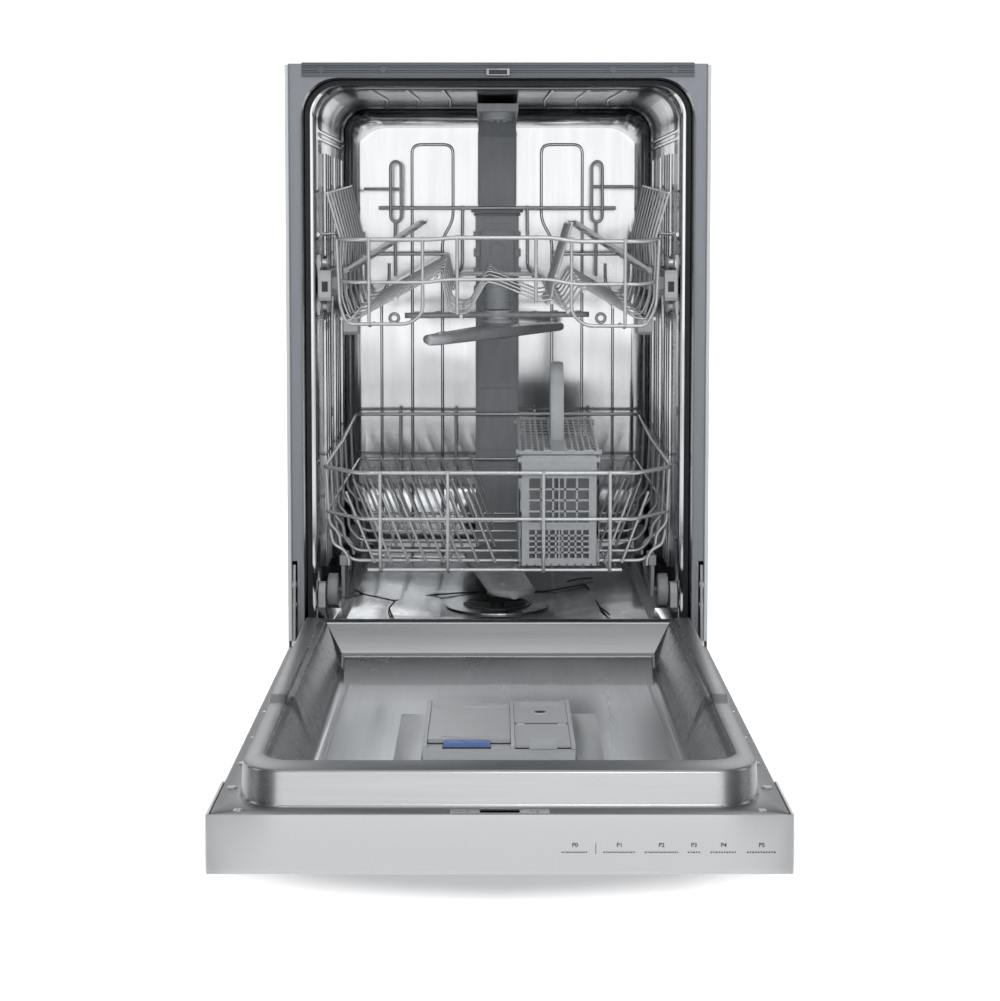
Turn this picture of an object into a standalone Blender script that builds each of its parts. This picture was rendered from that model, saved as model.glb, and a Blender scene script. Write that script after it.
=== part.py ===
"""Built-in dishwasher, 450 mm class, with its door open flat and both racks in.

Lengths are in millimetres. A place is (x, y, z): x to the right, y into the cabinet from
its front plane, z up from the floor. point() turns a place into metres in the part's frame,
whose origin is on the floor under the middle of the open machine.
"""
import math

import bmesh
import bpy
from mathutils import Matrix, Vector

MM = 0.001
FRONT_PLANE = 50.0          # the cabinet's front plane lies this far behind the origin
GAP = 0.3                   # clearance between pieces that touch

# Cabinet
HALF_WIDTH = 224.0
HEIGHT = 820.0
POST_INNER = 206.4
POST_OUTER = 219.8
SIDE_SHEET = (222.6, 223.8)
PANEL_TOP = 818.0
REAR_FACE = 520.0
BASE_TOP = 196.0
BASE_FRONT = 62.0
FOOT_HEIGHT = 22.0

# Tub
COLLAR_HALF = 206.0
COLLAR_DEPTH = 34.0
COLLAR_TOP = 804.0
TUB_HALF = 195.3
TUB_TOP = 797.0
TUB_DEPTH = 490.0
TUB_BOTTOM = 205.2
ARCH_RADIUS = 38.0
REAR_RADIUS = 24.0
SHEET = 2.0
LEDGE_HEIGHT = 236.2
LEDGE_INNER = 170.0
FLOOR_FRONT = 206.5
FLOOR_LOW = 203.0
FILTER_Y = 222.0
FILTER_RADIUS = 40.0
ARM_Y = 297.0

# Door, open flat
HINGE_Y = -8.0
HINGE_Z = 204.5
DOOR_END = -620.0
DOOR_UNDERSIDE = 156.4
DOOR_HALF = 222.0
FASCIA_BACK = -527.0
SKIRT_BACK = 78.5
RIM_TOP = 233.0
RAIL_TOP = 238.5
REAR_RIM_TOP = 235.0
LINER_LEDGE = 236.0
BASIN_FLOOR = 187.0
BASIN_REAR = 200.0
DISPENSER_TOP = 204.5
DISPENSER_DECK = 200.3

# Racks
LOWER_FLOOR = 288.0
LOWER_RIM = 390.0
LOWER_FRONT = -18.0
LOWER_BACK = 455.0
WHEEL_RADIUS = 17.5
WHEEL_Z = 254.1
WHEEL_YS = {"front": 50.0, "rear": 400.0}
UPPER_FLOOR = 556.0
UPPER_RIM = 635.0
UPPER_HALF = 172.0
UPPER_BACK = 430.0
UPPER_ARM_Y = 258.0
WIRE = 4.0
SHELF_PIVOT = (163.0, 602.0)
SHELF_TILT = 33.0
SHELF_LENGTH = 95.0

SIDES = {"left": -1, "right": 1}

# Finish: colour, roughness, metallic
PALETTE = {
    "polished_steel": ((0.62, 0.63, 0.64), 0.18, 1.0),
    "satin_steel": ((0.60, 0.61, 0.62), 0.32, 1.0),
    "zinc_steel": ((0.50, 0.51, 0.52), 0.42, 1.0),
    "silver_paint": ((0.80, 0.80, 0.82), 0.38, 0.2),
    "post_paint": ((0.55, 0.57, 0.60), 0.40, 0.4),
    "side_paint": ((0.78, 0.80, 0.82), 0.45, 0.1),
    "crossbar_paint": ((0.45, 0.47, 0.50), 0.40, 0.4),
    "coated_wire": ((0.60, 0.62, 0.64), 0.45, 0.0),
    "basket_plastic": ((0.62, 0.64, 0.65), 0.50, 0.0),
    "duct_plastic": ((0.36, 0.38, 0.40), 0.50, 0.0),
    "arm_plastic": ((0.43, 0.45, 0.47), 0.48, 0.0),
    "dispenser_plastic": ((0.68, 0.69, 0.71), 0.42, 0.0),
    "latch_blue": ((0.35, 0.45, 0.75), 0.40, 0.0),
    "cap_plastic": ((0.75, 0.76, 0.78), 0.45, 0.0),
    "black_plastic": ((0.05, 0.05, 0.055), 0.50, 0.0),
    "black_rubber": ((0.03, 0.03, 0.03), 0.75, 0.0),
    "bitumen_felt": ((0.09, 0.09, 0.10), 0.90, 0.0),
    "board_green": ((0.06, 0.22, 0.12), 0.50, 0.0),
    "white_plastic": ((0.82, 0.82, 0.80), 0.45, 0.0),
}


# ---------------------------------------------------------------- tools


def point(x, y, z):
    """A place in millimetres, as metres in the part's frame."""
    return Vector((x, y + FRONT_PLANE, z)) * MM


def paint(obj, finish):
    colour, roughness, metallic = PALETTE[finish]
    material = bpy.data.materials.new(obj.name + "_finish")
    material.use_nodes = True
    shader = material.node_tree.nodes["Principled BSDF"]
    shader.inputs["Base Color"].default_value = (*colour, 1.0)
    shader.inputs["Roughness"].default_value = roughness
    shader.inputs["Metallic"].default_value = metallic
    obj.data.materials.append(material)


def joint_axis(name, x, y, z):
    """An empty on a joint's axis, to which the moving pieces are parented."""
    empty = bpy.data.objects.new(name, None)
    empty.location = point(x, y, z)
    bpy.context.collection.objects.link(empty)
    return empty


def make(name, bm, finish, parent=None, smooth=30.0):
    """Turn a bmesh in world metres into an object whose origin is its parent's place."""
    origin = parent.location if parent else Vector()
    bmesh.ops.translate(bm, vec=-origin, verts=bm.verts)
    mesh = bpy.data.meshes.new(name)
    bm.to_mesh(mesh)
    bm.free()
    mesh.shade_smooth()
    mesh.set_sharp_from_angle(angle=math.radians(smooth))
    obj = bpy.data.objects.new(name, mesh)
    bpy.context.collection.objects.link(obj)
    obj.parent = parent
    paint(obj, finish)
    return obj


def combine(obj, bm, operation):
    """Cut a tool from an object, or unite it with the object."""
    name = f"{obj.name}_tool_{len(obj.modifiers)}"
    tool = bpy.data.objects.new(name, bpy.data.meshes.new(name))
    origin = obj.parent.location if obj.parent else Vector()
    bmesh.ops.translate(bm, vec=-origin, verts=bm.verts)
    bm.to_mesh(tool.data)
    bm.free()
    bpy.context.collection.objects.link(tool)
    tool.parent = obj.parent
    tool.hide_render = True
    tool.display_type = "WIRE"
    modifier = obj.modifiers.new(operation.lower(), "BOOLEAN")
    modifier.object = tool
    modifier.operation = operation
    modifier.solver = "EXACT"


def cut(obj, bm):
    combine(obj, bm, "DIFFERENCE")


def unite(obj, bm):
    combine(obj, bm, "UNION")


def thicken(obj, thickness, side):
    """Give an open sheet its thickness: side 1 grows along the normals, -1 against them."""
    modifier = obj.modifiers.new("sheet", "SOLIDIFY")
    modifier.thickness = thickness * MM
    modifier.offset = side
    modifier.use_even_offset = True


def closed(bm):
    bmesh.ops.recalc_face_normals(bm, faces=bm.faces)
    return bm


def slab(x, y, z):
    """A box between two values on each axis."""
    bm = bmesh.new()
    low = point(x[0], y[0], z[0])
    high = point(x[1], y[1], z[1])
    size = high - low
    matrix = Matrix.Translation((low + high) / 2) @ Matrix.Diagonal((*size, 1.0))
    bmesh.ops.create_cube(bm, size=1.0, matrix=matrix)
    return bm


def mirrored(span, side):
    """A span on x for the right side, turned over for the left."""
    return tuple(sorted((span[0] * side, span[1] * side)))


def prism(outline, axis, span):
    """Extrude a flat outline along an axis. The outline's pairs are the other two axes in order."""
    bm = bmesh.new()
    places = []
    for end in span:
        for a, b in outline:
            place = {"X": (end, a, b), "Y": (a, end, b), "Z": (a, b, end)}[axis]
            places.append(bm.verts.new(point(*place)))
    count = len(outline)
    bm.faces.new(places[:count])
    bm.faces.new(places[count:])
    for i in range(count):
        j = (i + 1) % count
        bm.faces.new((places[i], places[j], places[count + j], places[count + i]))
    return closed(bm)


def turned(profile, centre, axis, steps=32):
    """Turn a closed profile of (radius, height) about an axis through centre."""
    bm = bmesh.new()
    rings = []
    for radius, height in profile:
        ring = []
        for i in range(steps if radius > 0 else 1):
            angle = 2 * math.pi * i / steps
            a = radius * math.cos(angle)
            b = radius * math.sin(angle)
            offset = {"X": (height, a, b), "Y": (a, height, b), "Z": (a, b, height)}[axis]
            place = [c + o for c, o in zip(centre, offset)]
            ring.append(bm.verts.new(point(*place)))
        rings.append(ring)
    pairs = list(zip(rings, rings[1:]))
    if profile[0][0] > 0:
        pairs.append((rings[-1], rings[0]))
    for first, second in pairs:
        for i in range(steps):
            j = (i + 1) % steps
            corners = [first[i % len(first)], first[j % len(first)]]
            corners += [second[j % len(second)], second[i % len(second)]]
            bm.faces.new(dict.fromkeys(corners))
    return closed(bm)


def rod(radius, start, end, axis, centre, steps=32):
    """A plain round bar between two heights on an axis."""
    return turned([(0, start), (radius, start), (radius, end), (0, end)], centre, axis, steps)


def arch(half_width, bottom, top, radius, steps=6):
    """An arch outline from its left foot over the top to its right foot, as (x, z)."""
    left = []
    for i in range(steps + 1):
        angle = math.pi / 2 * i / steps
        x = -half_width + radius * (1 - math.cos(angle))
        z = top - radius * (1 - math.sin(angle))
        left.append((x, z))
    right = [(-x, z) for x, z in reversed(left)]
    return [(-half_width, bottom), *left, *right, (half_width, bottom)]


def loft(rows, cap_last=False, wrap=False):
    """Skin equal rows of places with quads, as an open sheet."""
    bm = bmesh.new()
    grid = [[bm.verts.new(point(*place)) for place in row] for row in rows]
    for first, second in zip(grid, grid[1:]):
        last = len(first) if wrap else len(first) - 1
        for i in range(last):
            j = (i + 1) % len(first)
            bm.faces.new((first[i], first[j], second[j], second[i]))
    if cap_last:
        bm.faces.new(grid[-1])
    return bm


def arch_rows(stations):
    """Rows of an arched sheet: each station is (y, half width, bottom, top, corner radius)."""
    rows = []
    for y, half_width, bottom, top, radius in stations:
        rows.append([(x, y, z) for x, z in arch(half_width, bottom, top, radius)])
    return rows


def lattice(name, rows, walls, parent):
    """A basket of bars along the edges of a bottom grid and of the walls round it."""
    bm = bmesh.new()
    grid = [[bm.verts.new(point(*place)) for place in row] for row in rows]
    for first, second in zip(grid, grid[1:]):
        for i in range(len(first) - 1):
            bm.faces.new((first[i], first[i + 1], second[i + 1], second[i]))
    if walls:
        edge = grid[0] + [row[-1] for row in grid[1:]]
        edge += grid[-1][-2::-1] + [row[0] for row in grid[-2:0:-1]]
        rim = [bm.verts.new(point(*walls(vert.co / MM - Vector((0, FRONT_PLANE, 0))))) for vert in edge]
        for i in range(len(edge)):
            j = (i + 1) % len(edge)
            bm.faces.new((edge[j], edge[i], rim[i], rim[j]))
    obj = make(name, bm, "coated_wire", parent)
    modifier = obj.modifiers.new("bars", "WIREFRAME")
    modifier.thickness = WIRE * MM
    modifier.use_boundary = True
    modifier.use_even_offset = False
    return obj


# ---------------------------------------------------------------- cabinet and tub


def build_tub():
    stations = [
        (1.6, COLLAR_HALF, TUB_BOTTOM, COLLAR_TOP, ARCH_RADIUS),
        (COLLAR_DEPTH, COLLAR_HALF, TUB_BOTTOM, COLLAR_TOP, ARCH_RADIUS),
        (COLLAR_DEPTH, TUB_HALF, TUB_BOTTOM, TUB_TOP, ARCH_RADIUS - 6),
    ]
    turns = 4
    for i in range(turns + 1):
        angle = math.pi / 2 * i / turns
        inset = REAR_RADIUS * (1 - math.cos(angle))
        y = TUB_DEPTH - REAR_RADIUS * (1 - math.sin(angle))
        stations.append((y, TUB_HALF - inset, TUB_BOTTOM, TUB_TOP - inset, ARCH_RADIUS - 6))
    tub = make("tub_shell", loft(arch_rows(stations), cap_last=True), "polished_steel")
    thicken(tub, SHEET, 1)


def floor_height(x, y):
    """Height of the tub's floor, which falls from ledges and ends to the filter."""
    across = abs(x)
    if y < COLLAR_DEPTH:
        return FLOOR_FRONT
    if across >= LEDGE_INNER:
        return LEDGE_HEIGHT
    if across > 160:
        return 216.0
    if across > 140:
        return 212.0
    if 150 < y < 330:
        return FLOOR_LOW
    return 206.0 if y < 460 else 214.0


def build_floor():
    rows = []
    for y in (4.0, 26.0, 27.5, 34.5, 156.0, 320.0, 440.0, 470.0, 488.0):
        edge = COLLAR_HALF - 0.8 if y < 27 else TUB_HALF - 0.6
        if y > 465:
            edge = TUB_HALF - 22
        half = [LEDGE_INNER, 166.0, 150.0, 64.0]
        columns = [-edge, *(-x for x in half), *reversed(half), edge]
        rows.append([(x, y, floor_height(x, y)) for x in columns])
    pan = make("tub_floor", loft(rows), "polished_steel")
    thicken(pan, SHEET - 0.2, -1)
    cut(pan, rod(FILTER_RADIUS + 4, 180, 230, "Z", (0, FILTER_Y, 0), 40))

    plate_profile = [(FILTER_RADIUS + 0.6, 203.4), (61, 203.4), (61, 205.0), (FILTER_RADIUS + 0.6, 205.0)]
    make("filter_plate", turned(plate_profile, (0, FILTER_Y, 0), "Z", 40), "satin_steel")

    cup = [(0, 150), (44, 150), (44, 200.5), (52, 200.5), (52, 128), (0, 128)]
    make("sump_housing", turned(cup, (0, FILTER_Y, 0), "Z"), "black_plastic")

    pedestal = [(0, 203.4), (13, 203.4), (13, 206), (9, 209), (9, 223.4), (0, 223.4)]
    make("lower_arm_pedestal", turned(pedestal, (0, ARM_Y, 0), "Z", 24), "duct_plastic")


def build_seals():
    band = arch(COLLAR_HALF - GAP, 209, COLLAR_TOP - GAP, ARCH_RADIUS)
    inner = arch(199.6, 209, 797.6, ARCH_RADIUS - 6)
    make("door_gasket", prism(band + inner[::-1], "Y", (28.0, 33.7)), "black_rubber")
    make("bottom_seal", slab((-200, 200), (-2, 3.6), (205.4, 209)), "black_rubber")


def build_front():
    outer = [(-POST_OUTER, 206), (-POST_OUTER, 819), (POST_OUTER, 819), (POST_OUTER, 206)]
    inner = arch(POST_INNER, 206, COLLAR_TOP + 0.4, ARCH_RADIUS)
    frame = make("front_frame", prism(outer + inner[::-1], "Y", (0, 1.2)), "post_paint")
    for side in SIDES.values():
        slot = mirrored((210.6, 219.0), side)
        cut(frame, slab(slot, (-2, 4), (200, 293.6)))

    groove_depth = -1.4
    profile = [(-0.3, 805), (-2.4, 805), (-2.4, 809), (groove_depth, 809.6)]
    profile += [(groove_depth, 811), (-2.4, 811.6), (-2.4, 814), (groove_depth, 814.6)]
    profile += [(groove_depth, 816), (-2.4, 816.6), (-2.4, HEIGHT), (-0.3, HEIGHT)]
    make("top_crossbar", prism(profile, "X", (-205.5, 205.5)), "crossbar_paint")

    strike = make("door_strike", slab((-12, 12), (-15, -2.8), (805.6, 812.4)), "zinc_steel")
    cut(strike, slab((-7, 7), (-12, -6), (800, 820)))


def build_case():
    for name, side in SIDES.items():
        low, high = SIDE_SHEET
        edge = 207.0
        sheet = slab(mirrored((low, high), side), (1.6, 516.5), (30, PANEL_TOP))
        panel = make(f"side_panel_{name}", sheet, "side_paint")
        unite(panel, slab(mirrored((POST_OUTER + 0.3, high), side), (1.6, 3.0), (edge, PANEL_TOP)))
        unite(panel, slab(mirrored((209, high), side), (40, 490), (PANEL_TOP - 1.2, PANEL_TOP)))

    rear = slab((-222, 222), (REAR_FACE - 1.2, REAR_FACE), (60, PANEL_TOP))
    make("rear_panel", rear, "zinc_steel")

    stations = [(y, TUB_HALF + SHEET + 1.5, 232, TUB_TOP + SHEET + 1.5, ARCH_RADIUS - 4) for y in (60, 480)]
    blanket = make("insulation_blanket", loft(arch_rows(stations)), "bitumen_felt")
    thicken(blanket, 8.0, 1)


def build_base():
    block = slab((-220, 220), (BASE_FRONT, 514), (FOOT_HEIGHT, BASE_TOP))
    base = make("base_frame", block, "black_plastic")
    cut(base, slab((-208, 208), (BASE_FRONT + 12, 502), (0, 230)))
    cut(base, slab((-230, 230), (40, 100), (104, 230)))
    unite(base, slab((-214, 214), (330, 350), (FOOT_HEIGHT, 36)))

    kick = [(57.0, 12), (57.0, 112), (61.4, 112), (61.4, 110.6), (58.4, 110.6), (58.4, 12)]
    make("kick_plate", prism(kick, "X", (-218, 218)), "silver_paint")

    shank_top = FOOT_HEIGHT - GAP
    foot = [(0, 0), (17, 0), (18, 1), (18, 6), (9, 9), (5, 9), (5, shank_top), (0, shank_top)]
    for end, y in (("front", 68), ("rear", 494)):
        for name, side in SIDES.items():
            bm = turned(foot, (side * 196, y, 0), "Z", 24)
            make(f"levelling_foot_{end}_{name}", bm, "black_plastic")


def build_machinery():
    motor = [(0, -84), (30, -84), (32, -60), (40, -60), (40, 60), (34, 66), (0, 66)]
    pump = make("circulation_pump", turned(motor, (10, 395, 92), "X", 28), "zinc_steel")
    unite(pump, slab((-70, -54), (387, 403), (100, 150)))

    drain = make("drain_pump", rod(24, 0, 64, "X", (-160, 240, 80), 24), "black_plastic")
    unite(drain, rod(32, 63, 86, "X", (-160, 240, 80), 24))

    valve = make("inlet_valve", slab((-186, -146), (440, 486), (48, 86)), "white_plastic")
    unite(valve, rod(13, 85, 116, "Z", (-166, 463, 0), 20))


def build_duct():
    run = [(462, 216), (488, 216), (488, 770), (474, 784), (462, 790), (220, 790)]
    run += [(220, 781), (448, 779), (462, 762)]
    duct = make("rear_water_duct", prism(run, "X", (-24, 24)), "duct_plastic")
    unite(duct, slab((-27.5, 27.5), (460.5, 488), (216, 663)))
    unite(duct, slab((-29, 29), (459, 488), (661, 672)))
    unite(duct, rod(20, 774, 782, "Z", (0, 250, 0), 28))

    port = make("duct_docking_port", slab((-21, 21), (453, 460.2), (552, 642)), "black_plastic")
    for z in (572, 617):
        cut(port, rod(11, 450, 458, "Y", (0, 0, z), 24))


def build_guides():
    for name, side in SIDES.items():
        plate = slab(mirrored((193.0, 195.0), side), (60, 112), (553, 618))
        bracket = make(f"roller_bracket_{name}", plate, "zinc_steel")
        for y in (74, 98):
            for z in (562, 609):
                start, end = mirrored((184.5, 193.5), side)
                unite(bracket, rod(7, start, end, "X", (0, y, z), 20))

        block = slab(mirrored((187, 194.6), side), (36, 60), (236.5, 262))
        make(f"lower_guide_{name}", block, "cap_plastic")


def build_hinge_sides():
    for name, side in SIDES.items():
        outline = [(1.8, 207), (1.8, 300), (24, 300), (96, 236), (96, 207)]
        bracket = prism(outline, "X", mirrored((211, 213.5), side))
        make(f"hinge_bracket_{name}", bracket, "zinc_steel")

        profile = [(0, 105), (2.6, 105)]
        coils = 8
        for i in range(coils):
            y = 112 + i * 16
            profile += [(2.6, y), (3.6, y + 4), (3.6, y + 8), (2.6, y + 12)]
        profile += [(2.6, 320), (0, 320)]
        make(f"door_spring_{name}", turned(profile, (side * 215.6, 0, 216), "Y", 8), "zinc_steel")


# ---------------------------------------------------------------- filter and spray arms


def blade_outline(centre_y, reach, root, tip, angle):
    """A two-ended arm seen from above: wide at the hub, narrower at its round tips."""
    half = []
    for i in range(7):
        sweep = math.pi / 2 * (i / 3 - 1)
        half.append((reach - tip + tip * math.cos(sweep), tip * math.sin(sweep)))
    half = [(0, -root), *half, (0, root)]
    ring = half[:-1] + [(-x, -y) for x, y in half[:-1]]
    cos = math.cos(math.radians(angle))
    sin = math.sin(math.radians(angle))
    return [(x * cos - y * sin, centre_y + x * sin + y * cos) for x, y in ring]


def build_filter():
    axis = joint_axis("filter_axis", 0, FILTER_Y, FLOOR_LOW)
    mug = [(0, 152), (38, 152), (38, 200), (FILTER_RADIUS, 200), (FILTER_RADIUS, 206.5), (34, 206.5)]
    mug += [(34, 202), (31, 202), (31, 156), (0, 156)]
    body = make("filter_cylinder", turned(mug, (0, FILTER_Y, 0), "Z", 40), "duct_plastic", axis)
    unite(body, slab((-32.5, 32.5), (FILTER_Y - 4, FILTER_Y + 4), (190, 208)))


def build_lower_arm():
    axis = joint_axis("lower_arm_axis", 0, ARM_Y, 232)
    outline = blade_outline(ARM_Y, 160, 30, 27, 97)
    arm = make("lower_spray_arm", prism(outline, "Z", (226, 236)), "arm_plastic", axis)
    unite(arm, turned([(0, 224), (24, 224), (24, 238), (14, 242), (0, 242)], (0, ARM_Y, 0), "Z", 28))


def build_upper_arm():
    axis = joint_axis("upper_arm_axis", 0, UPPER_ARM_Y, 526)
    long_blades = blade_outline(UPPER_ARM_Y, 173, 22, 12, 64)
    short_blades = blade_outline(UPPER_ARM_Y, 111, 18, 10, 8)
    arm = make("upper_spray_arm", prism(long_blades, "Z", (519, 528)), "arm_plastic", axis)
    unite(arm, prism(short_blades, "Z", (540, 548)))
    unite(arm, turned([(0, 516), (16, 516), (16, 550), (0, 550)], (0, UPPER_ARM_Y, 0), "Z", 28))


# ---------------------------------------------------------------- racks


def lower_wall(place):
    """The rim above a point on the lower basket's bottom edge: the walls lean out."""
    x, y, _ = place
    if y < LOWER_FRONT + 1:
        if abs(x) > 130:
            return math.copysign(140, x), LOWER_FRONT, LOWER_RIM
        return x, LOWER_FRONT, LOWER_RIM
    if y > LOWER_BACK - 1:
        return math.copysign(min(abs(x), 160) * 1.12, x), LOWER_BACK, LOWER_RIM + 15
    return math.copysign(187, x), y, LOWER_RIM + 15 * max(0, y - 300) / 155


def build_lower_rack():
    axis = joint_axis("lower_rack_axis", 0, 200, WHEEL_Z)
    rows = []
    edges = [(LOWER_FRONT, 132), (40, 165), (118, 165), (200, 165), (282, 165), (364, 165)]
    for y, edge in [*edges, (LOWER_BACK, 150)]:
        rows.append([(edge * s, y, LOWER_FLOOR) for s in (-1, -0.6, -0.18, 0.18, 0.6, 1)])
    lattice("lower_rack_basket", rows, lower_wall, axis)

    box = make("cutlery_basket", slab((22, 107), (-14, 180), (291, 408)), "basket_plastic", axis)
    cut(box, slab((24, 105), (-12, 178), (293.5, 420)))
    cut(box, slab((10, 120), (20, 150), (396, 420)))

    lid = make("cutlery_lid", slab((22, 107), (-14, 180), (408.3, 412)), "basket_plastic", axis)
    for x in ((26, 52.5), (67.5, 103)):
        for y in ((-9, 46), (54, 106), (114, 175)):
            cut(lid, slab(x, y, (400, 420)))
    handle = [(48, 411), (54, 497), (60, 501), (100, 501), (106, 497), (112, 411)]
    grip = [(102, 411), (96, 490), (64, 490), (58, 411)]
    unite(lid, prism(handle + grip, "X", (55, 65)))

    wheel_profile = [(0, -6), (6, -6), (WHEEL_RADIUS - 3, -5), (WHEEL_RADIUS, -4)]
    wheel_profile += [(r, -h) for r, h in reversed(wheel_profile)]
    for end, y in WHEEL_YS.items():
        for name, side in SIDES.items():
            wheel_axis = joint_axis(f"wheel_axis_{end}_{name}", side * 179, y, WHEEL_Z)
            bm = turned(wheel_profile, (side * 179, y, WHEEL_Z), "X", 24)
            make(f"rack_wheel_{end}_{name}", bm, "cap_plastic", wheel_axis)


def upper_wall(place):
    """The rim above a point on the upper basket's bottom edge, higher towards the rear."""
    x, y, _ = place
    height = UPPER_RIM + 36 * max(0, y - 300) / (UPPER_BACK - 300)
    return x * UPPER_HALF / 165, y, height


def build_upper_rack():
    axis = joint_axis("upper_rack_axis", 0, 200, 585)
    rows = []
    edges = [(0, 136), (30, 165), (90, 165), (158, 165), (225, 165), (292, 165), (360, 165)]
    for y, edge in [*edges, (UPPER_BACK, 150)]:
        heights = [(-edge, 550), (-100, UPPER_FLOOR), (-42, UPPER_FLOOR)]
        heights += [(42, UPPER_FLOOR), (100, UPPER_FLOOR), (edge, 550)]
        rows.append([(x, y, z) for x, z in heights])
    lattice("upper_rack_basket", rows, upper_wall, axis)

    pipe = make("feed_pipe", slab((-14, 14), (262, 440), (561, 584)), "duct_plastic", axis)
    unite(pipe, rod(16, 551, 584, "Z", (0, UPPER_ARM_Y, 0), 28))
    unite(pipe, rod(11, 436, 450, "Y", (0, 0, 572), 24))

    for name, side in SIDES.items():
        web = 184.0
        lip = 191.6
        inner = web + 1.6
        section = [(web, 571), (web, 600), (lip, 600), (lip, 595)]
        section += [(inner, 595), (inner, 576), (lip, 576), (lip, 571)]
        outline = [(side * x, z) for x, z in section]
        make(f"upper_rail_{name}", prism(outline, "Y", (34, 450)), "zinc_steel", axis)


def build_shelves():
    pivot_x, pivot_z = SHELF_PIVOT
    cos = math.cos(math.radians(SHELF_TILT))
    sin = math.sin(math.radians(SHELF_TILT))
    for name, side in SIDES.items():
        axis = joint_axis(f"cup_shelf_axis_{name}", side * pivot_x, 145, pivot_z)
        rows = []
        for y in (40, 110, 180, 250):
            row = []
            for reach in (0, SHELF_LENGTH / 2, SHELF_LENGTH):
                row.append((side * (pivot_x - reach * cos), y, pivot_z + reach * sin))
            rows.append(row)
        lattice(f"cup_shelf_{name}", rows, None, axis)


# ---------------------------------------------------------------- door


def liner_loop(half_width, front, rear, radius, height, rail_height, rear_height):
    """One loop of the liner: up the left side, round the front corners and back down the right."""
    arc = 6
    left = [(-half_width, rear, rear_height), (-half_width, rear - 10, rail_height)]
    left += [(-half_width, -370, rail_height), (-half_width, -384, height)]
    for i in range(arc + 1):
        angle = math.pi / 2 * i / arc
        x = -half_width + radius * (1 - math.cos(angle))
        y = front + radius * (1 - math.sin(angle))
        left.append((x, y, height))
    return left + [(-x, y, z) for x, y, z in reversed(left)]


def build_liner(axis):
    flange = HINGE_Z
    loops = [
        liner_loop(220.5, -617.7, -14, 3, flange, flange, flange),
        liner_loop(203.6, -601, -15, 38, flange, flange, flange),
        liner_loop(202.0, -599, -17, 36, RIM_TOP, RAIL_TOP, REAR_RIM_TOP),
        liner_loop(186.5, -567, -20.5, 24, RIM_TOP, RAIL_TOP, REAR_RIM_TOP),
        liner_loop(185.8, -566, -22, 24, RIM_TOP - 2, LINER_LEDGE, REAR_RIM_TOP - 0.6),
        liner_loop(180.5, -564, -24, 22, RIM_TOP - 3, LINER_LEDGE, REAR_RIM_TOP - 1.2),
        liner_loop(161.0, -545, -42, 16, BASIN_FLOOR, BASIN_FLOOR, BASIN_REAR),
        liner_loop(157.0, -541, -112, 14, BASIN_FLOOR, BASIN_FLOOR, BASIN_FLOOR),
    ]
    liner = make("door_inner_liner", loft(loops, cap_last=True, wrap=True), "satin_steel", axis)
    thicken(liner, 1.0, -1)
    cut(liner, slab((-15, 15), (-616.4, -606), (190, 230)))


def build_door_shell(axis):
    stations = ((FASCIA_BACK + 0.6, 203), (-20, 203), (-8, 172), (SKIRT_BACK, 172))
    rows = []
    for y, top in stations:
        left = [(-DOOR_HALF, y, top), (-DOOR_HALF, y, DOOR_UNDERSIDE)]
        rows.append(left + [(DOOR_HALF, y, DOOR_UNDERSIDE), (DOOR_HALF, y, top)])
    panel = make("door_outer_panel", loft(rows), "silver_paint", axis)
    thicken(panel, 1.2, 1)

    block = slab((-HALF_WIDTH, HALF_WIDTH), (DOOR_END, FASCIA_BACK), (DOOR_UNDERSIDE, HINGE_Z))
    fascia = make("control_panel", block, "silver_paint", axis)
    cut(fascia, slab((-221.5, 221.5), (DOOR_END + 2, FASCIA_BACK + 10), (DOOR_UNDERSIDE + 2, 230)))
    unite(fascia, slab((-66, 66), (-604, -562), (DOOR_UNDERSIDE + 1, 178)))
    cut(fascia, slab((-64, 64), (-602, -564), (150, 176)))

    make("control_board", slab((-150, 20), (-556, -532), (164, 182)), "board_green", axis)
    latch = make("door_latch", slab((-24, 24), (-616.8, -606), (180, 195)), "black_plastic", axis)
    cut(latch, slab((-10, 10), (-614, -609), (186, 200)))


def build_hinge_arms(axis):
    outline = [(-150, 170), (-150, 196), (-16, 199), (-12.8, 202), (-12, 207), (-4, 290), (12, 290)]
    outline += [(6, 204), (-2, 192), (-24, 172)]
    for name, side in SIDES.items():
        plate = prism(outline, "X", mirrored((215, 217.5), side))
        make(f"hinge_arm_{name}", plate, "zinc_steel", axis)


def build_dispenser(axis):
    block = slab((-66, 66), (-414, -252), (BASIN_FLOOR + GAP, DISPENSER_DECK))
    body = make("dispenser_body", block, "dispenser_plastic", axis)
    unite(body, slab((14, 62), (-337, -256), (198, DISPENSER_TOP)))
    cut(body, slab((-56, 4), (-390, -282), (189.5, 220)))
    cut(body, slab((-49, -7), (-412.5, -398.5), (197, 220)))
    cut(body, rod(14, 190, 220, "Z", (38, -380, 0), 24))

    lid_axis = joint_axis("detergent_lid_axis", -26, -333.5, 202.6)
    plate = slab((-62, 10), (-396, -267), (200.8, DISPENSER_TOP))
    lid = make("detergent_lid", plate, "dispenser_plastic", lid_axis)
    cut(lid, slab((-50, -2), (-392, -386), (203.2, 210)))

    latch_axis = joint_axis("detergent_latch_axis", -28, -405.5, 202)
    make("detergent_latch", slab((-48, -8), (-411.5, -399.5), (200.4, 204.2)), "latch_blue", latch_axis)

    flap_axis = joint_axis("rinse_flap_axis", 38, -340, 203.5)
    plate = slab((14, 62), (-412, -340), (201, 203.5))
    flap = make("rinse_aid_flap", plate, "dispenser_plastic", flap_axis)
    unite(flap, slab((26, 50), (-416, -411), (201, 203.5)))


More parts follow.
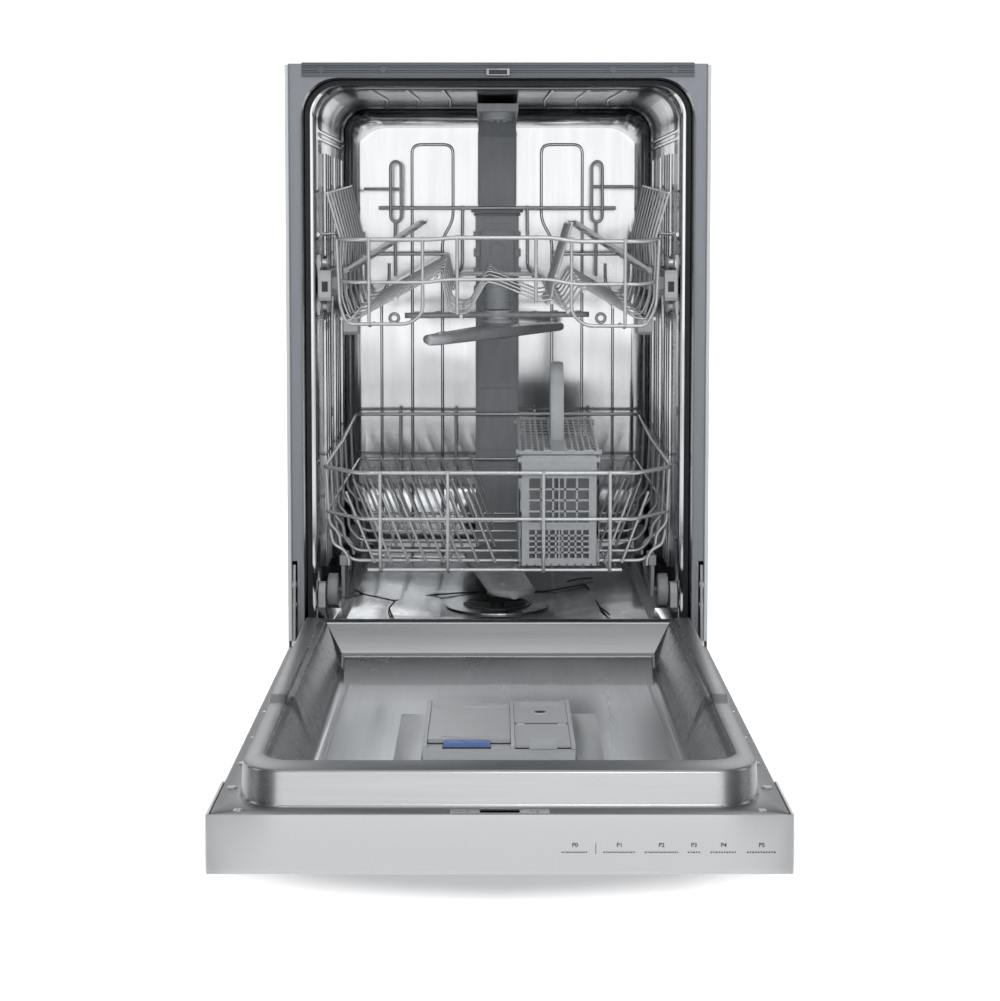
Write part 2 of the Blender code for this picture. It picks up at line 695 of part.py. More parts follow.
def build_door():
    axis = joint_axis("door_hinge_axis", 0, HINGE_Y, HINGE_Z)
    build_door_shell(axis)
    build_liner(axis)
    build_hinge_arms(axis)
    build_dispenser(axis)


def main():
    for obj in list(bpy.data.objects):
        bpy.data.objects.remove(obj, do_unlink=True)
    build_tub()
    build_floor()
    build_seals()
    build_front()
    build_case()
    build_base()
    build_machinery()
    build_duct()
    build_guides()
    build_hinge_sides()
    build_filter()
    build_lower_arm()
    build_upper_arm()
    build_lower_rack()
    build_upper_rack()
    build_shelves()
    build_door()


main()
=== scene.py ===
"""The looks of the slim built-in dishwasher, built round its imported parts.

Lengths are in millimetres. A place is (x, y, z) with y measured into the cabinet from the front
frame's face, and place() turns it into metres in the frame.
"""
import itertools
import math

import bmesh
import bpy
from mathutils import Matrix, Vector


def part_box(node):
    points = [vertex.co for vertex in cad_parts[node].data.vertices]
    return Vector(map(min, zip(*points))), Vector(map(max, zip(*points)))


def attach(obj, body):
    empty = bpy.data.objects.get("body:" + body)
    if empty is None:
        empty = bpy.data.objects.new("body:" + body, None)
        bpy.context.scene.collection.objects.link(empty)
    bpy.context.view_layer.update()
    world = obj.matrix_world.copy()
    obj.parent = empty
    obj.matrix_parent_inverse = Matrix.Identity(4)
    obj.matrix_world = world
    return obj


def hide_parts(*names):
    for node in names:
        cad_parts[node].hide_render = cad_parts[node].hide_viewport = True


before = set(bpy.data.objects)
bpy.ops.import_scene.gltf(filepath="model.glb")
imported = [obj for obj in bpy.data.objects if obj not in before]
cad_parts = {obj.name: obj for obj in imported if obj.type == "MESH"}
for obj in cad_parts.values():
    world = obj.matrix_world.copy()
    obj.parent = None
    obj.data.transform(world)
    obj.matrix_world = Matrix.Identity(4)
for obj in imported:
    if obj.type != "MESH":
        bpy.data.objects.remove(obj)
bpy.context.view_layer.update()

MM = 0.001
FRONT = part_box("front_frame")[0].y
SIDES = {"left": -1, "right": 1}


def box_mm(node):
    """A node's low and high corners in this script's millimetres."""
    low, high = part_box(node)
    shift = Vector((0, FRONT, 0))
    return (low - shift) / MM, (high - shift) / MM


def centre_mm(node):
    low, high = box_mm(node)
    return (low + high) / 2


def place(x, y, z):
    return Vector((x * MM, y * MM + FRONT, z * MM))


CABINET_HIGH = box_mm("side_panel_right")[1]
FASCIA_LOW, FASCIA_HIGH = box_mm("control_panel")
FLANGE_Z = FASCIA_HIGH.z
LOWER_LOW, LOWER_HIGH = box_mm("lower_rack_basket")
UPPER_LOW, UPPER_HIGH = box_mm("upper_rack_basket")
BASKET_LOW, BASKET_HIGH = box_mm("cutlery_basket")
LID_LOW, LID_HIGH = box_mm("cutlery_lid")
DISPENSER_HIGH = box_mm("dispenser_body")[1]
ARM_CENTRE_Y = centre_mm("upper_spray_arm").y


# ---------------------------------------------------------------- materials


def node(tree, kind, **values):
    """A new node. Each value is another node's output to link, a number for an input, or a setting."""
    made = tree.nodes.new(kind)
    for key, value in values.items():
        if isinstance(value, bpy.types.NodeSocket):
            tree.links.new(value, made.inputs[key])
        elif key in made.inputs:
            made.inputs[key].default_value = value
        else:
            setattr(made, key, value)
    return made


def maths(tree, operation, *feeds):
    """The output of a math node that is fed with outputs and numbers, in the order of its inputs."""
    made = node(tree, "ShaderNodeMath", operation=operation)
    for socket, value in zip(made.inputs, feeds):
        if isinstance(value, bpy.types.NodeSocket):
            tree.links.new(value, socket)
        else:
            socket.default_value = value
    return made.outputs[0]


def surface(name, colour, rough, metal=0.0, tone=0.05, wear=0.06, grain=(1, 1, 1), size=60.0, bump=0.15,
            fine=900.0, depth=0.0002, coat=0.0, sheen=0.0):
    """A finish with clouded colour, worn gloss and a fine relief, stretched along the grain."""
    material = bpy.data.materials.new(name)
    material.use_nodes = True
    tree = material.node_tree
    shader = tree.nodes["Principled BSDF"]
    shader.inputs["Metallic"].default_value = metal
    shader.inputs["Coat Weight"].default_value = coat
    shader.inputs["Coat Roughness"].default_value = 0.12
    shader.inputs["Sheen Weight"].default_value = sheen
    where = node(tree, "ShaderNodeTexCoord").outputs["Object"]
    stretched = node(tree, "ShaderNodeMapping", Scale=grain, Vector=where).outputs["Vector"]

    clouds = node(tree, "ShaderNodeTexNoise", Scale=size, Detail=5.0, Roughness=0.6, Vector=stretched)
    shade = node(tree, "ShaderNodeValToRGB", Fac=clouds.outputs["Fac"])
    dark, light = shade.color_ramp.elements
    dark.position = 0.3
    light.position = 0.7
    dark.color = (*[max(0, c * (1 - tone)) for c in colour], 1)
    light.color = (*[min(1, c * (1 + tone)) for c in colour], 1)
    tree.links.new(shade.outputs["Color"], shader.inputs["Base Color"])

    smear = node(tree, "ShaderNodeTexNoise", Scale=size * 0.35, Detail=4.0, Vector=stretched)
    worn = {"To Min": max(0.02, rough - wear), "To Max": min(1.0, rough + wear)}
    gloss = node(tree, "ShaderNodeMapRange", Value=smear.outputs["Fac"], **worn)
    tree.links.new(gloss.outputs["Result"], shader.inputs["Roughness"])

    pores = node(tree, "ShaderNodeTexNoise", Scale=fine, Detail=3.0, Vector=stretched)
    relief = node(tree, "ShaderNodeBump", Strength=bump, Distance=depth, Height=pores.outputs["Fac"])
    tree.links.new(relief.outputs["Normal"], shader.inputs["Normal"])
    return material


def waved(material, size, strength, distance):
    """Adds the slow waves of thin pressed sheet under a finish's fine relief."""
    tree = material.node_tree
    fine = tree.nodes["Principled BSDF"].inputs["Normal"].links[0].from_node
    where = tree.nodes["Texture Coordinate"].outputs["Object"]
    swell = node(tree, "ShaderNodeTexNoise", Scale=size, Detail=1.0, Vector=where)
    wave = node(tree, "ShaderNodeBump", Strength=strength, Distance=distance, Height=swell.outputs["Fac"])
    tree.links.new(wave.outputs["Normal"], fine.inputs["Normal"])
    return material


SATIN = {"fine": 900, "depth": 0.0001}
PAINT = {"wear": 0.05, "size": 140, "bump": 0.12, "fine": 1400, "depth": 0.0001}
MOULDED = {"bump": 0.2, "fine": 1500, "depth": 0.00015}
SMOOTH = {"size": 180, "fine": 1500, "depth": 0.0001}

STEEL = waved(surface("tub_polished_steel", (0.66, 0.67, 0.68), 0.12, 1.0, wear=0.05, grain=(1, 1, 0.08),
                      size=90, bump=0.05, fine=700), 9.0, 0.35, 0.004)
PAN_STEEL = waved(surface("floor_steel", (0.50, 0.51, 0.52), 0.19, 1.0, tone=0.06, wear=0.05,
                          grain=(1, 0.12, 1), size=80, bump=0.08), 14.0, 0.3, 0.004)
# The tub's ceiling is the same steel sheet as its walls, given a much darker colour as painted shade.
CEILING_SHADE_STEEL = waved(surface("ceiling_painted_shade_steel", (0.19, 0.195, 0.205), 0.14, 1.0, tone=0.08, wear=0.07,
                              grain=(1, 1, 14), size=22, bump=0.1, fine=500), 7, 0.3, 0.0022)
LINER_STEEL = surface("liner_satin_steel", (0.43, 0.435, 0.445), 0.27, 1.0, tone=0.04, wear=0.05,
                      grain=(0.05, 1, 1), size=160, bump=0.02, **SATIN)
WALL_STEEL = surface("liner_wall_steel", (0.42, 0.43, 0.445), 0.47, 0.95, tone=0.02, wear=0.015,
                     grain=(1, 0.03, 0.4), bump=0.012, fine=500, depth=0.0001)
# A darker copy of the liner's steel for the flange and rim tops: painted shade.
RIM_SHADE_STEEL = surface("liner_rim_painted_shade_steel", (0.27, 0.274, 0.284), 0.42, 1.0, tone=0.04, wear=0.04,
                    grain=(0.3, 1, 1), size=90, bump=0.02, **SATIN)
BASIN_STEEL = surface("basin_brushed_steel", (0.64, 0.655, 0.67), 0.28, 1.0, wear=0.03, grain=(1, 0.03, 1),
                      size=120, bump=0.015, fine=600, depth=0.0001)
# A darker copy of the liner's steel for the basin's rear wall: painted shade.
REAR_SHADE_STEEL = surface("liner_rear_painted_shade_steel", (0.25, 0.252, 0.262), 0.55, 0.9, tone=0.03, wear=0.04,
                     grain=(0.05, 1, 1), size=160, bump=0.1, fine=1500, depth=0.0001)
ZINC = surface("zinc_plate", (0.47, 0.48, 0.49), 0.38, 1.0, tone=0.12, wear=0.1, size=120, bump=0.12)
DARK_ZINC = surface("hinge_steel", (0.28, 0.285, 0.29), 0.4, 1.0, tone=0.15, wear=0.1, size=90)
SILVER = surface("silver_lacquer", (0.59, 0.595, 0.61), 0.4, 0.25, tone=0.02, wear=0.04, size=500, bump=0.1,
                 fine=2200, depth=0.00008, coat=0.15)
POST = surface("post_paint", (0.23, 0.245, 0.27), 0.4, 0.4, tone=0.04, grain=(1, 1, 0.1), **PAINT)
CROSSBAR = surface("crossbar_paint", (0.095, 0.104, 0.118), 0.36, 0.4, grain=(0.1, 1, 1), **PAINT)
SIDE = surface("side_lacquer", (0.66, 0.68, 0.70), 0.42, 0.15, tone=0.02, wear=0.04, size=300, bump=0.12,
               fine=1500, depth=0.0001)
WIRE_COAT = surface("wire_coating", (0.56, 0.575, 0.59), 0.24, 0.5, tone=0.08, wear=0.08, size=260, bump=0.2,
                    fine=1200, depth=0.00015, coat=0.25)
BASKET = surface("basket_polypropylene", (0.43, 0.45, 0.47), 0.42, size=150, bump=0.2, fine=1600,
                 depth=0.00015)
DUCT = surface("duct_polypropylene", (0.43, 0.455, 0.485), 0.36, tone=0.08, wear=0.08, grain=(1, 1, 0.2),
               size=120, **MOULDED)
FILTER = surface("filter_plastic", (0.055, 0.058, 0.062), 0.4, tone=0.1, wear=0.08, size=130, **MOULDED)
ARM = surface("spray_arm_polypropylene", (0.56, 0.575, 0.60), 0.4, tone=0.1, wear=0.08, size=130, **MOULDED)
CAP = surface("light_grey_plastic", (0.52, 0.53, 0.55), 0.42, tone=0.04, **SMOOTH)
WHEEL = surface("wheel_plastic", (0.30, 0.31, 0.325), 0.42, tone=0.06, **SMOOTH)
DISPENSER = surface("dispenser_plastic", (0.57, 0.59, 0.61), 0.34, tone=0.03, wear=0.05, size=220, fine=1800,
                    depth=0.0001)
BLUE = surface("latch_blue", (0.16, 0.26, 0.58), 0.36, tone=0.06, wear=0.05, size=220, bump=0.12, fine=1600,
               depth=0.0001)
BLACK = surface("black_plastic", (0.018, 0.018, 0.02), 0.46, tone=0.25, wear=0.1, size=120, bump=0.25,
                fine=1300)
RUBBER = surface("rubber", (0.022, 0.022, 0.024), 0.62, tone=0.25, wear=0.12, size=150, bump=0.3)
FELT = surface("bitumen_felt", (0.035, 0.035, 0.038), 0.92, tone=0.4, size=260, bump=0.7, fine=700,
               depth=0.0009, sheen=0.2)
WHITE = surface("white_plastic", (0.72, 0.72, 0.70), 0.42, tone=0.03, size=150)
BOARD = surface("board_lacquer", (0.02, 0.09, 0.04), 0.35, tone=0.3, wear=0.1, size=400, bump=0.3)
INK = surface("legend_ink", (0.035, 0.037, 0.042), 0.5, wear=0.05, size=600, bump=0.1)

# What each CAD node's own slots carry.
CARRIED = [
    (POST, "front_frame"),
    (CROSSBAR, "top_crossbar"),
    (DARK_ZINC, "door_strike hinge_bracket_left hinge_bracket_right hinge_arm_left hinge_arm_right"),
    (ZINC, "rear_panel circulation_pump roller_bracket_left roller_bracket_right upper_rail_left"
           " upper_rail_right"),
    (SIDE, "side_panel_left side_panel_right"),
    (FELT, "insulation_blanket"),
    (BLACK, "base_frame sump_housing drain_pump door_latch levelling_foot_front_left"
            " levelling_foot_front_right levelling_foot_rear_left levelling_foot_rear_right"),
    (SILVER, "kick_plate door_outer_panel control_panel"),
    (WHITE, "inlet_valve"),
    (PAN_STEEL, "filter_plate"),
    (RUBBER, "bottom_seal door_gasket"),
    (DUCT, "lower_arm_pedestal duct_docking_port feed_pipe rear_water_duct"),
    (CAP, "lower_guide_left lower_guide_right"),
    (BOARD, "control_board"),
    (BLUE, "detergent_latch"),
    (DISPENSER, "dispenser_body detergent_lid rinse_aid_flap"),
]


def dress_frame():
    for material, names in CARRIED:
        for name in names.split():
            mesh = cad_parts[name].data
            if mesh.materials:
                for i in range(len(mesh.materials)):
                    mesh.materials[i] = material
            else:
                mesh.materials.append(material)


# ---------------------------------------------------------------- outlines


def quarter(steps):
    """Pairs of 1 - cos and 1 - sin along a quarter turn, from (0, 1) to (1, 0)."""
    angles = [math.pi / 2 * i / steps for i in range(steps + 1)]
    return [(1 - math.cos(angle), 1 - math.sin(angle)) for angle in angles]


def around(count, radius):
    """Evenly spaced pairs on a circle about the origin."""
    angles = [2 * math.pi * i / count for i in range(count)]
    return [(radius * math.cos(angle), radius * math.sin(angle)) for angle in angles]


def oblong(left, low, right, high):
    return [(left, low), (right, low), (right, high), (left, high)]


def mirrored(path):
    """A path on one side, followed by its mirror in X back from its end."""
    return path + [(-x, *rest) for x, *rest in reversed(path)]


def arch(half_width, bottom, top, radius, side_steps=1):
    """An arch from its left foot over the top to its right foot, as (x, z)."""
    rise = top - radius - bottom
    left = [(-half_width, bottom + rise * i / side_steps) for i in range(side_steps)]
    left += [(-half_width + radius * a, top - radius * b) for a, b in quarter(12)]
    return mirrored(left)


def rounded(points, radius, closed=False):
    """A polyline with its corners turned into short arcs of five steps."""
    points = [Vector(p) for p in points]
    count = len(points)
    made = []
    for i, corner in enumerate(points):
        if not closed and i in (0, count - 1):
            made.append(corner)
            continue
        before = points[i - 1] - corner
        after = points[(i + 1) % count] - corner
        reach = min(radius, before.length * 0.45, after.length * 0.45)
        start = corner + before.normalized() * reach
        end = corner + after.normalized() * reach
        for t in (0.0, 0.2, 0.4, 0.6, 0.8, 1.0):
            made.append(start * (1 - t) ** 2 + corner * 2 * t * (1 - t) + end * t ** 2)
    return made


# ---------------------------------------------------------------- making pieces


def make_object(name, data):
    obj = bpy.data.objects.new(name, data)
    bpy.context.collection.objects.link(obj)
    return obj


def settle(obj, body, replaces=()):
    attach(obj, body)
    if replaces:
        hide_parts(*replaces)
    return obj


def mesh_piece(name, bm, material, body, replaces=(), sharp=35.0, bevel=0.0):
    mesh = bpy.data.meshes.new(name)
    bmesh.ops.remove_doubles(bm, verts=bm.verts, dist=1e-7)
    bm.to_mesh(mesh)
    bm.free()
    mesh.shade_smooth()
    mesh.set_sharp_from_angle(angle=math.radians(sharp))
    mesh.materials.append(material)
    obj = make_object(name, mesh)
    if bevel:
        soften = obj.modifiers.new("edges", "BEVEL")
        soften.width = bevel * MM
        soften.segments = 2
        soften.limit_method = "ANGLE"
        soften.angle_limit = math.radians(40)
        soften.harden_normals = True
    return settle(obj, body, replaces)


def thick(obj, thickness, side):
    solid = obj.modifiers.new("sheet", "SOLIDIFY")
    solid.thickness = thickness * MM
    solid.offset = side
    solid.use_even_offset = True


def carve(obj, bm):
    """Cuts a tool out of a piece and applies the cut."""
    mesh = bpy.data.meshes.new(obj.name + "_tool")
    bm.to_mesh(mesh)
    bm.free()
    tool = make_object(obj.name + "_tool", mesh)
    modifier = obj.modifiers.new("cut", "BOOLEAN")
    modifier.object = tool
    modifier.operation = "DIFFERENCE"
    modifier.solver = "EXACT"
    bpy.context.view_layer.update()
    graph = bpy.context.evaluated_depsgraph_get()
    result = bpy.data.meshes.new_from_object(obj.evaluated_get(graph))
    obj.modifiers.clear()
    obj.data = result
    bpy.data.objects.remove(tool, do_unlink=True)


def add_box(bm, x, y, z):
    low = place(min(x), min(y), min(z))
    high = place(max(x), max(y), max(z))
    matrix = Matrix.Translation((low + high) / 2) @ Matrix.Diagonal((*(high - low), 1.0))
    bmesh.ops.create_cube(bm, size=1.0, matrix=matrix)


def add_rod(bm, start, end, radius, steps=16):
    """A round bar between two places."""
    a = place(*start)
    b = place(*end)
    turn = (b - a).to_track_quat("Z", "Y").to_matrix().to_4x4()
    matrix = Matrix.Translation((a + b) / 2) @ turn
    bmesh.ops.create_cone(bm, cap_ends=True, segments=steps, radius1=radius * MM, radius2=radius * MM,
                          depth=(b - a).length, matrix=matrix)


def add_prism(bm, outline, axis, span):
    """An outline extruded along an axis; its pairs are the other two axes in order."""
    rings = []
    for end in sorted(span):
        places = [{"X": (end, a, b), "Y": (a, end, b), "Z": (a, b, end)}[axis] for a, b in outline]
        rings.append([bm.verts.new(place(*p)) for p in places])
    faces = [bm.faces.new(rings[0]), bm.faces.new(rings[1])]
    count = len(outline)
    for i in range(count):
        j = (i + 1) % count
        faces.append(bm.faces.new((rings[0][i], rings[0][j], rings[1][j], rings[1][i])))
    bmesh.ops.recalc_face_normals(bm, faces=faces)


def add_turned(bm, profile, centre, axis="Z", steps=40):
    """A profile of (radius, height) turned about an axis through centre; it ends on the axis or closes."""
    rings = []
    for radius, height in profile:
        ring = []
        for a, b in around(steps, radius) if radius > 0 else [(0.0, 0.0)]:
            offset = {"X": (height, a, b), "Y": (a, height, b), "Z": (a, b, height)}[axis]
            ring.append(bm.verts.new(place(*[c + o for c, o in zip(centre, offset)])))
        rings.append(ring)
    pairs = list(zip(rings, rings[1:]))
    if profile[0][0] > 0:
        pairs.append((rings[-1], rings[0]))
    faces = []
    for first, second in pairs:
        for i in range(steps):
            j = (i + 1) % steps
            corners = [ring[k % len(ring)] for ring, k in ((first, i), (first, j), (second, j), (second, i))]
            faces.append(bm.faces.new(dict.fromkeys(corners)))
    bmesh.ops.recalc_face_normals(bm, faces=faces)


def add_collar(bm, radii, span, centre, axis="Z", steps=40):
    """A flat ring between two radii and two heights; an inner radius of 0 makes it a disc."""
    inner, outer = radii
    low, high = span
    add_turned(bm, [(inner, low), (outer, low), (outer, high), (inner, high)], centre, axis, steps)


def wires(name, paths, radius, material, body, replaces=(), bend=6.0):
    """Round wires along polylines. A path is a list of places, with True at its end if it closes."""
    curve = bpy.data.curves.new(name, "CURVE")
    curve.dimensions = "3D"
    curve.bevel_depth = radius * MM
    curve.bevel_resolution = 3
    curve.use_fill_caps = True
    for path in paths:
        loop = path[-1] is True
        points = path[:-1] if loop else path
        if bend:
            points = rounded(points, bend, closed=loop)
        spline = curve.splines.new("POLY")
        spline.points.add(len(points) - 1)
        for target, point in zip(spline.points, points):
            target.co = (*place(*point), 1.0)
        spline.use_cyclic_u = loop
        spline.use_smooth = True
    curve.materials.append(material)
    settle(make_object(name, curve), body, replaces)


def loft(rows, cap_last=False, wrap=False):
    """A sheet through rows of places, which may close round and end in a flat face."""
    bm = bmesh.new()
    grid = [[bm.verts.new(place(*p)) for p in row] for row in rows]
    for first, second in zip(grid, grid[1:]):
        last = len(first) if wrap else len(first) - 1
        for i in range(last):
            j = (i + 1) % len(first)
            bm.faces.new((first[i], first[j], second[j], second[i]))
    if cap_last:
        bm.faces.new(grid[-1])
    return bm


# ---------------------------------------------------------------- tub

COLLAR_HALF = 206.0
COLLAR_DEPTH = 34.0
COLLAR_TOP = 804.0
TUB_HALF = 195.3
TUB_TOP = 797.0
TUB_BACK = 490.0
TUB_BOTTOM = box_mm("tub_shell")[0].z
SHEET = 1.2


def build_tub():
    """The wrapped sheet from the front collar to the rear wall, with its pressed beads."""
    stations = [(1.8, COLLAR_HALF + 0.2, COLLAR_TOP, 38), (3.0, COLLAR_HALF, COLLAR_TOP, 38),
                (COLLAR_DEPTH - 5, COLLAR_HALF, COLLAR_TOP, 38),
                (COLLAR_DEPTH - 1.5, COLLAR_HALF - 1, COLLAR_TOP - 1, 37),
                (COLLAR_DEPTH, COLLAR_HALF - 3.5, COLLAR_TOP - 3, 35),
                (COLLAR_DEPTH, TUB_HALF + 3, TUB_TOP + 2.5, 34),
                (COLLAR_DEPTH + 1, TUB_HALF + 0.8, TUB_TOP + 0.8, 32),
                (COLLAR_DEPTH + 3, TUB_HALF, TUB_TOP, 32)]
    # Shallow ribs run round the side walls and the ceiling of the thin sheet.
    for y in (58, 62, 66, 70, 130, 200, 270, 340, 400, 430, 434, 438, 442):
        rib = 0.9 if y in (62, 66, 434, 438) else 0.0
        stations.append((y, TUB_HALF - rib, TUB_TOP - rib, 32))
    corner = 24
    for a, b in quarter(8):
        stations.append((TUB_BACK - corner * b, TUB_HALF - corner * a, TUB_TOP - corner * a, 32))
    rows = []
    for y, half, top, radius in stations:
        rows.append([(x, y, z) for x, z in arch(half, TUB_BOTTOM, top, radius, side_steps=5)])
    bm = loft(rows, cap_last=True)
    # Faces above the ceiling line take the darker copy of the steel: painted shade on the ceiling.
    ceiling = place(0, 0, TUB_TOP - 7).z
    for face in bm.faces:
        face.material_index = int(face.calc_center_median().z > ceiling)
    wall = mesh_piece("tub_wrap", bm, STEEL, "cabinet", ["tub_shell"], sharp=40)
    wall.data.materials.append(CEILING_SHADE_STEEL)
    thick(wall, SHEET, 1)

    # Pressed beads on the rear wall: two tall arches whose inner legs step outwards, and hooked side beads.
    beads = []
    y = TUB_BACK - 0.4
    for side in SIDES.values():
        for bead in (((110, 215), (110, 753), (57, 753), (57, 655), (71, 632), (71, 215)),
                     ((150, 215), (150, 560), (140, 575), (140, 600))):
            beads.append([(side * x, y, z) for x, z in bead])
    wires("rear_wall_beads", beads, 2.0, STEEL, "cabinet", bend=12)

    side_beads = []
    for side in SIDES.values():
        x = side * (TUB_HALF - 0.3)
        for y in (150, 178, 206, 290, 318, 346, 402):
            side_beads.append([(x, y, 262), (x, y, 545), (x, y + 10, 560), (x, y + 10, 730)])
        for end, z in ((400, 640), (440, 744), (440, 752)):
            side_beads.append([(x, 60, z), (x, end, z)])
    wires("side_wall_beads", side_beads, 2.4, STEEL, "cabinet", bend=12)

    # The ceiling beads share the ceiling's painted shade.
    z = TUB_TOP - 0.4
    ceiling_beads = [[(x, 60, z), (x * 0.92, 250, z), (x, 430, z)] for x in (-140, -100, -60, 60, 100, 140)]
    ceiling_beads.append([(-150, 52, z), (150, 52, z)])
    wires("ceiling_beads", ceiling_beads, 2.2, CEILING_SHADE_STEEL, "cabinet", bend=30)


def build_floor():
    """The pressed floor: a faceted funnel from the ledges down to the filter."""
    low = 203.2
    front = 206.5
    ledge_in = 170.0
    ledge_top = 236.2
    rows = []
    spec = [
        # y, edge, ledge height, wall foot (x, z), shoulder (x, z), inner (x, z)
        (4.0, 205.2, front + 1.6, (190, front + 1), (150, front), (60, front)),
        (9.0, 205.2, front, (190, front), (150, front), (60, front)),
        (26.0, 205.2, front, (190, front), (150, front), (60, front)),
        (27.5, 194.6, front, (185, front), (152, front), (62, front)),
        (34.5, 194.6, ledge_top, (168, 226), (158, front + 3), (70, front - 0.5)),
        (70.0, 194.6, ledge_top, (167, 217), (152, 210), (120, 206.2)),
        (128.0, 194.6, ledge_top, (166, 216), (140, 212), (80, 207)),
        (156.0, 194.6, ledge_top, (166, 216), (118, 213.5), (66, low)),
        (222.0, 194.6, ledge_top, (166, 217), (104, 214), (66, low)),
        (320.0, 194.6, ledge_top, (166, 217), (120, 212), (68, low)),
        (380.0, 194.6, ledge_top, (166, 217), (130, 211), (75, 207)),
        (440.0, 194.6, ledge_top, (166, 218), (140, 212), (80, 209)),
        (470.0, 188.0, ledge_top, (164, 222), (140, 218), (80, 216)),
        (488.0, 173.0, ledge_top, (160, 232), (140, 230), (80, 229)),
    ]
    for y, edge, ledge, foot, shoulder, inner in spec:
        ledge_x = min(ledge_in if y > 30 else edge - 6, edge - 3)
        half = [(edge, ledge), (ledge_x, ledge), foot, shoulder, inner, (inner[0] * 0.45, inner[1])]
        rows.append(mirrored([(-x, y, z) for x, z in half]))
    pan = mesh_piece("tub_pan", loft(rows), PAN_STEEL, "cabinet", ["tub_floor"], sharp=12)
    thick(pan, SHEET, -1)
    hole = bmesh.new()
    add_collar(hole, (0, 44), (190, 225), (0, 222, 0), steps=56)
    carve(pan, hole)

    # The joint of the fine strainer plate runs behind the filter and up both sides.
    seams = [[(-171, 226, 223), (-158, 221, 216.4), (-119, 191, 214.1), (-78, 271, 206.4), (-25, 304, 203.9),
              (60, 308, 203.9), (108, 313, 211.6), (117, 153, 213.9), (126, 118, 212.6)],
             [(-119, 191, 214.1), (-124, 150, 213.6), (-116, 96, 211.6)],
             [(86, 344, 209.6), (104, 349, 212.4), (118, 346, 213.2)]]
    wires("floor_seams", seams, 1.0, RUBBER, "cabinet", bend=4)


def build_gasket():
    """A hollow rubber lip in the collar's step, on top of its plain carrier."""
    half = COLLAR_HALF - 0.5
    top = COLLAR_TOP - 0.5
    rows = []
    for inset, rise in ((0, 0), (5.4, 0), (5.4, 2.2), (2.6, 3.4), (2.6, 5.4), (0.4, 5.4), (0.4, 3.0)):
        y = COLLAR_DEPTH - 0.4 - rise
        rows.append([(x, y, z) for x, z in arch(half - inset, 209, top - inset, 37.5 - inset)])
    rows.append(rows[0])
    mesh_piece("gasket_lip", loft(rows), RUBBER, "cabinet", ["door_gasket"])


# ---------------------------------------------------------------- case


def build_case_details():
    """Screws of the side panels and the crossbar, the posts' edges, the strike's slot and the rear brace."""
    bm = bmesh.new()
    for side in SIDES.values():
        profile = [(r, side * h) for r, h in ((0, -1.0), (7.0, -1.0), (7.0, 0.0), (5.2, 0.55), (0, 0.6))]
        for z in (782, 337):
            for y in (60, 430):
                add_turned(bm, profile, (side * (CABINET_HIGH.x - 0.7), y, z), "X", 24)
    mesh_piece("side_screws", bm, SIDE, "cabinet")

    # Rolled edges of the posts, the crossbar's four screws with their slots, and a black plate in the
    # strike's slot as painted shade.
    edges = []
    for side in SIDES.values():
        for x, y, top in ((206.9, -0.5, 764), (219.2, -0.4, 818)):
            edges.append([(side * x, y, 294), (side * x, y, top)])
    wires("post_edges", edges, 0.7, POST, "cabinet")
    bm = bmesh.new()
    for side in SIDES.values():
        for x in (side * 120, side * 185):
            add_collar(bm, (0, 3.6), (-0.9, 0.2), (x, -2.3, 812.5), "Y", 20)
            add_box(bm, (x - 2.4, x + 2.4), (-3.5, -3.1), (812.2, 812.8))
    mesh_piece("crossbar_screws", bm, CROSSBAR, "cabinet")
    bm = bmesh.new()
    add_prism(bm, oblong(-9.5, 806.6, 9.5, 811.2), "Y", (-15.6, -14.9))
    mesh_piece("strike_slot_painted_shade", bm, BLACK, "cabinet", bevel=0.3)

    bm = bmesh.new()
    brace_top = CABINET_HIGH.z - 1.2
    add_box(bm, (-214, 214), (440, 470), (brace_top - 1.2, brace_top))
    for x in (-150, 0, 150):
        add_box(bm, (x - 20, x + 20), (446, 464), (brace_top, brace_top + 0.6))
    mesh_piece("rear_top_brace", bm, ZINC, "cabinet", bevel=0.4)


def build_rear_panel():
    """The rear sheet with its hemmed edge, three upright pressings, vents and screws."""
    low, high = box_mm("rear_panel")
    hem = 5
    sheet = high.y - 1.4
    bm = bmesh.new()
    add_box(bm, (low.x, high.x), (low.y, sheet), (low.z, high.z))
    for x in (low.x, high.x - hem):
        add_box(bm, (x, x + hem), (sheet, high.y), (low.z, high.z))
    for z in (low.z, high.z - hem):
        add_box(bm, (low.x, high.x), (sheet, high.y), (z, z + hem))
    for x in (-140, 0, 140):
        foot = oblong(x - 38, low.z + 60, x + 38, high.z - 70)
        top = oblong(x - 34, low.z + 64, x + 34, high.z - 74)
        rings = []
        for ring, y in ((foot, sheet), (top, high.y - 0.4)):
            rings.append([bm.verts.new(place(a, y, b)) for a, b in ring])
        bm.faces.new(rings[1])
        for i in range(4):
            j = (i + 1) % 4
            bm.faces.new((rings[0][i], rings[0][j], rings[1][j], rings[1][i]))
    for i in range(7):
        vent = low.z + 12 + i * 6
        add_box(bm, (-60, 60), (sheet, sheet + 0.5), (vent, vent + 2))
    left = low.x + 9
    right = high.x - 9
    spots = [(x, z) for x in (left, 0, right) for z in (low.z + 9, high.z - 9)]
    spots += [(x, z) for z in (250, 400, 550) for x in (left, right)]
    for x, z in spots:
        add_turned(bm, [(0, 0), (4.4, 0), (3.4, 1.2), (0, 1.3)], (x, sheet, z), "Y", 18)
    mesh_piece("rear_sheet", bm, ZINC, "cabinet", ["rear_panel"], sharp=20)


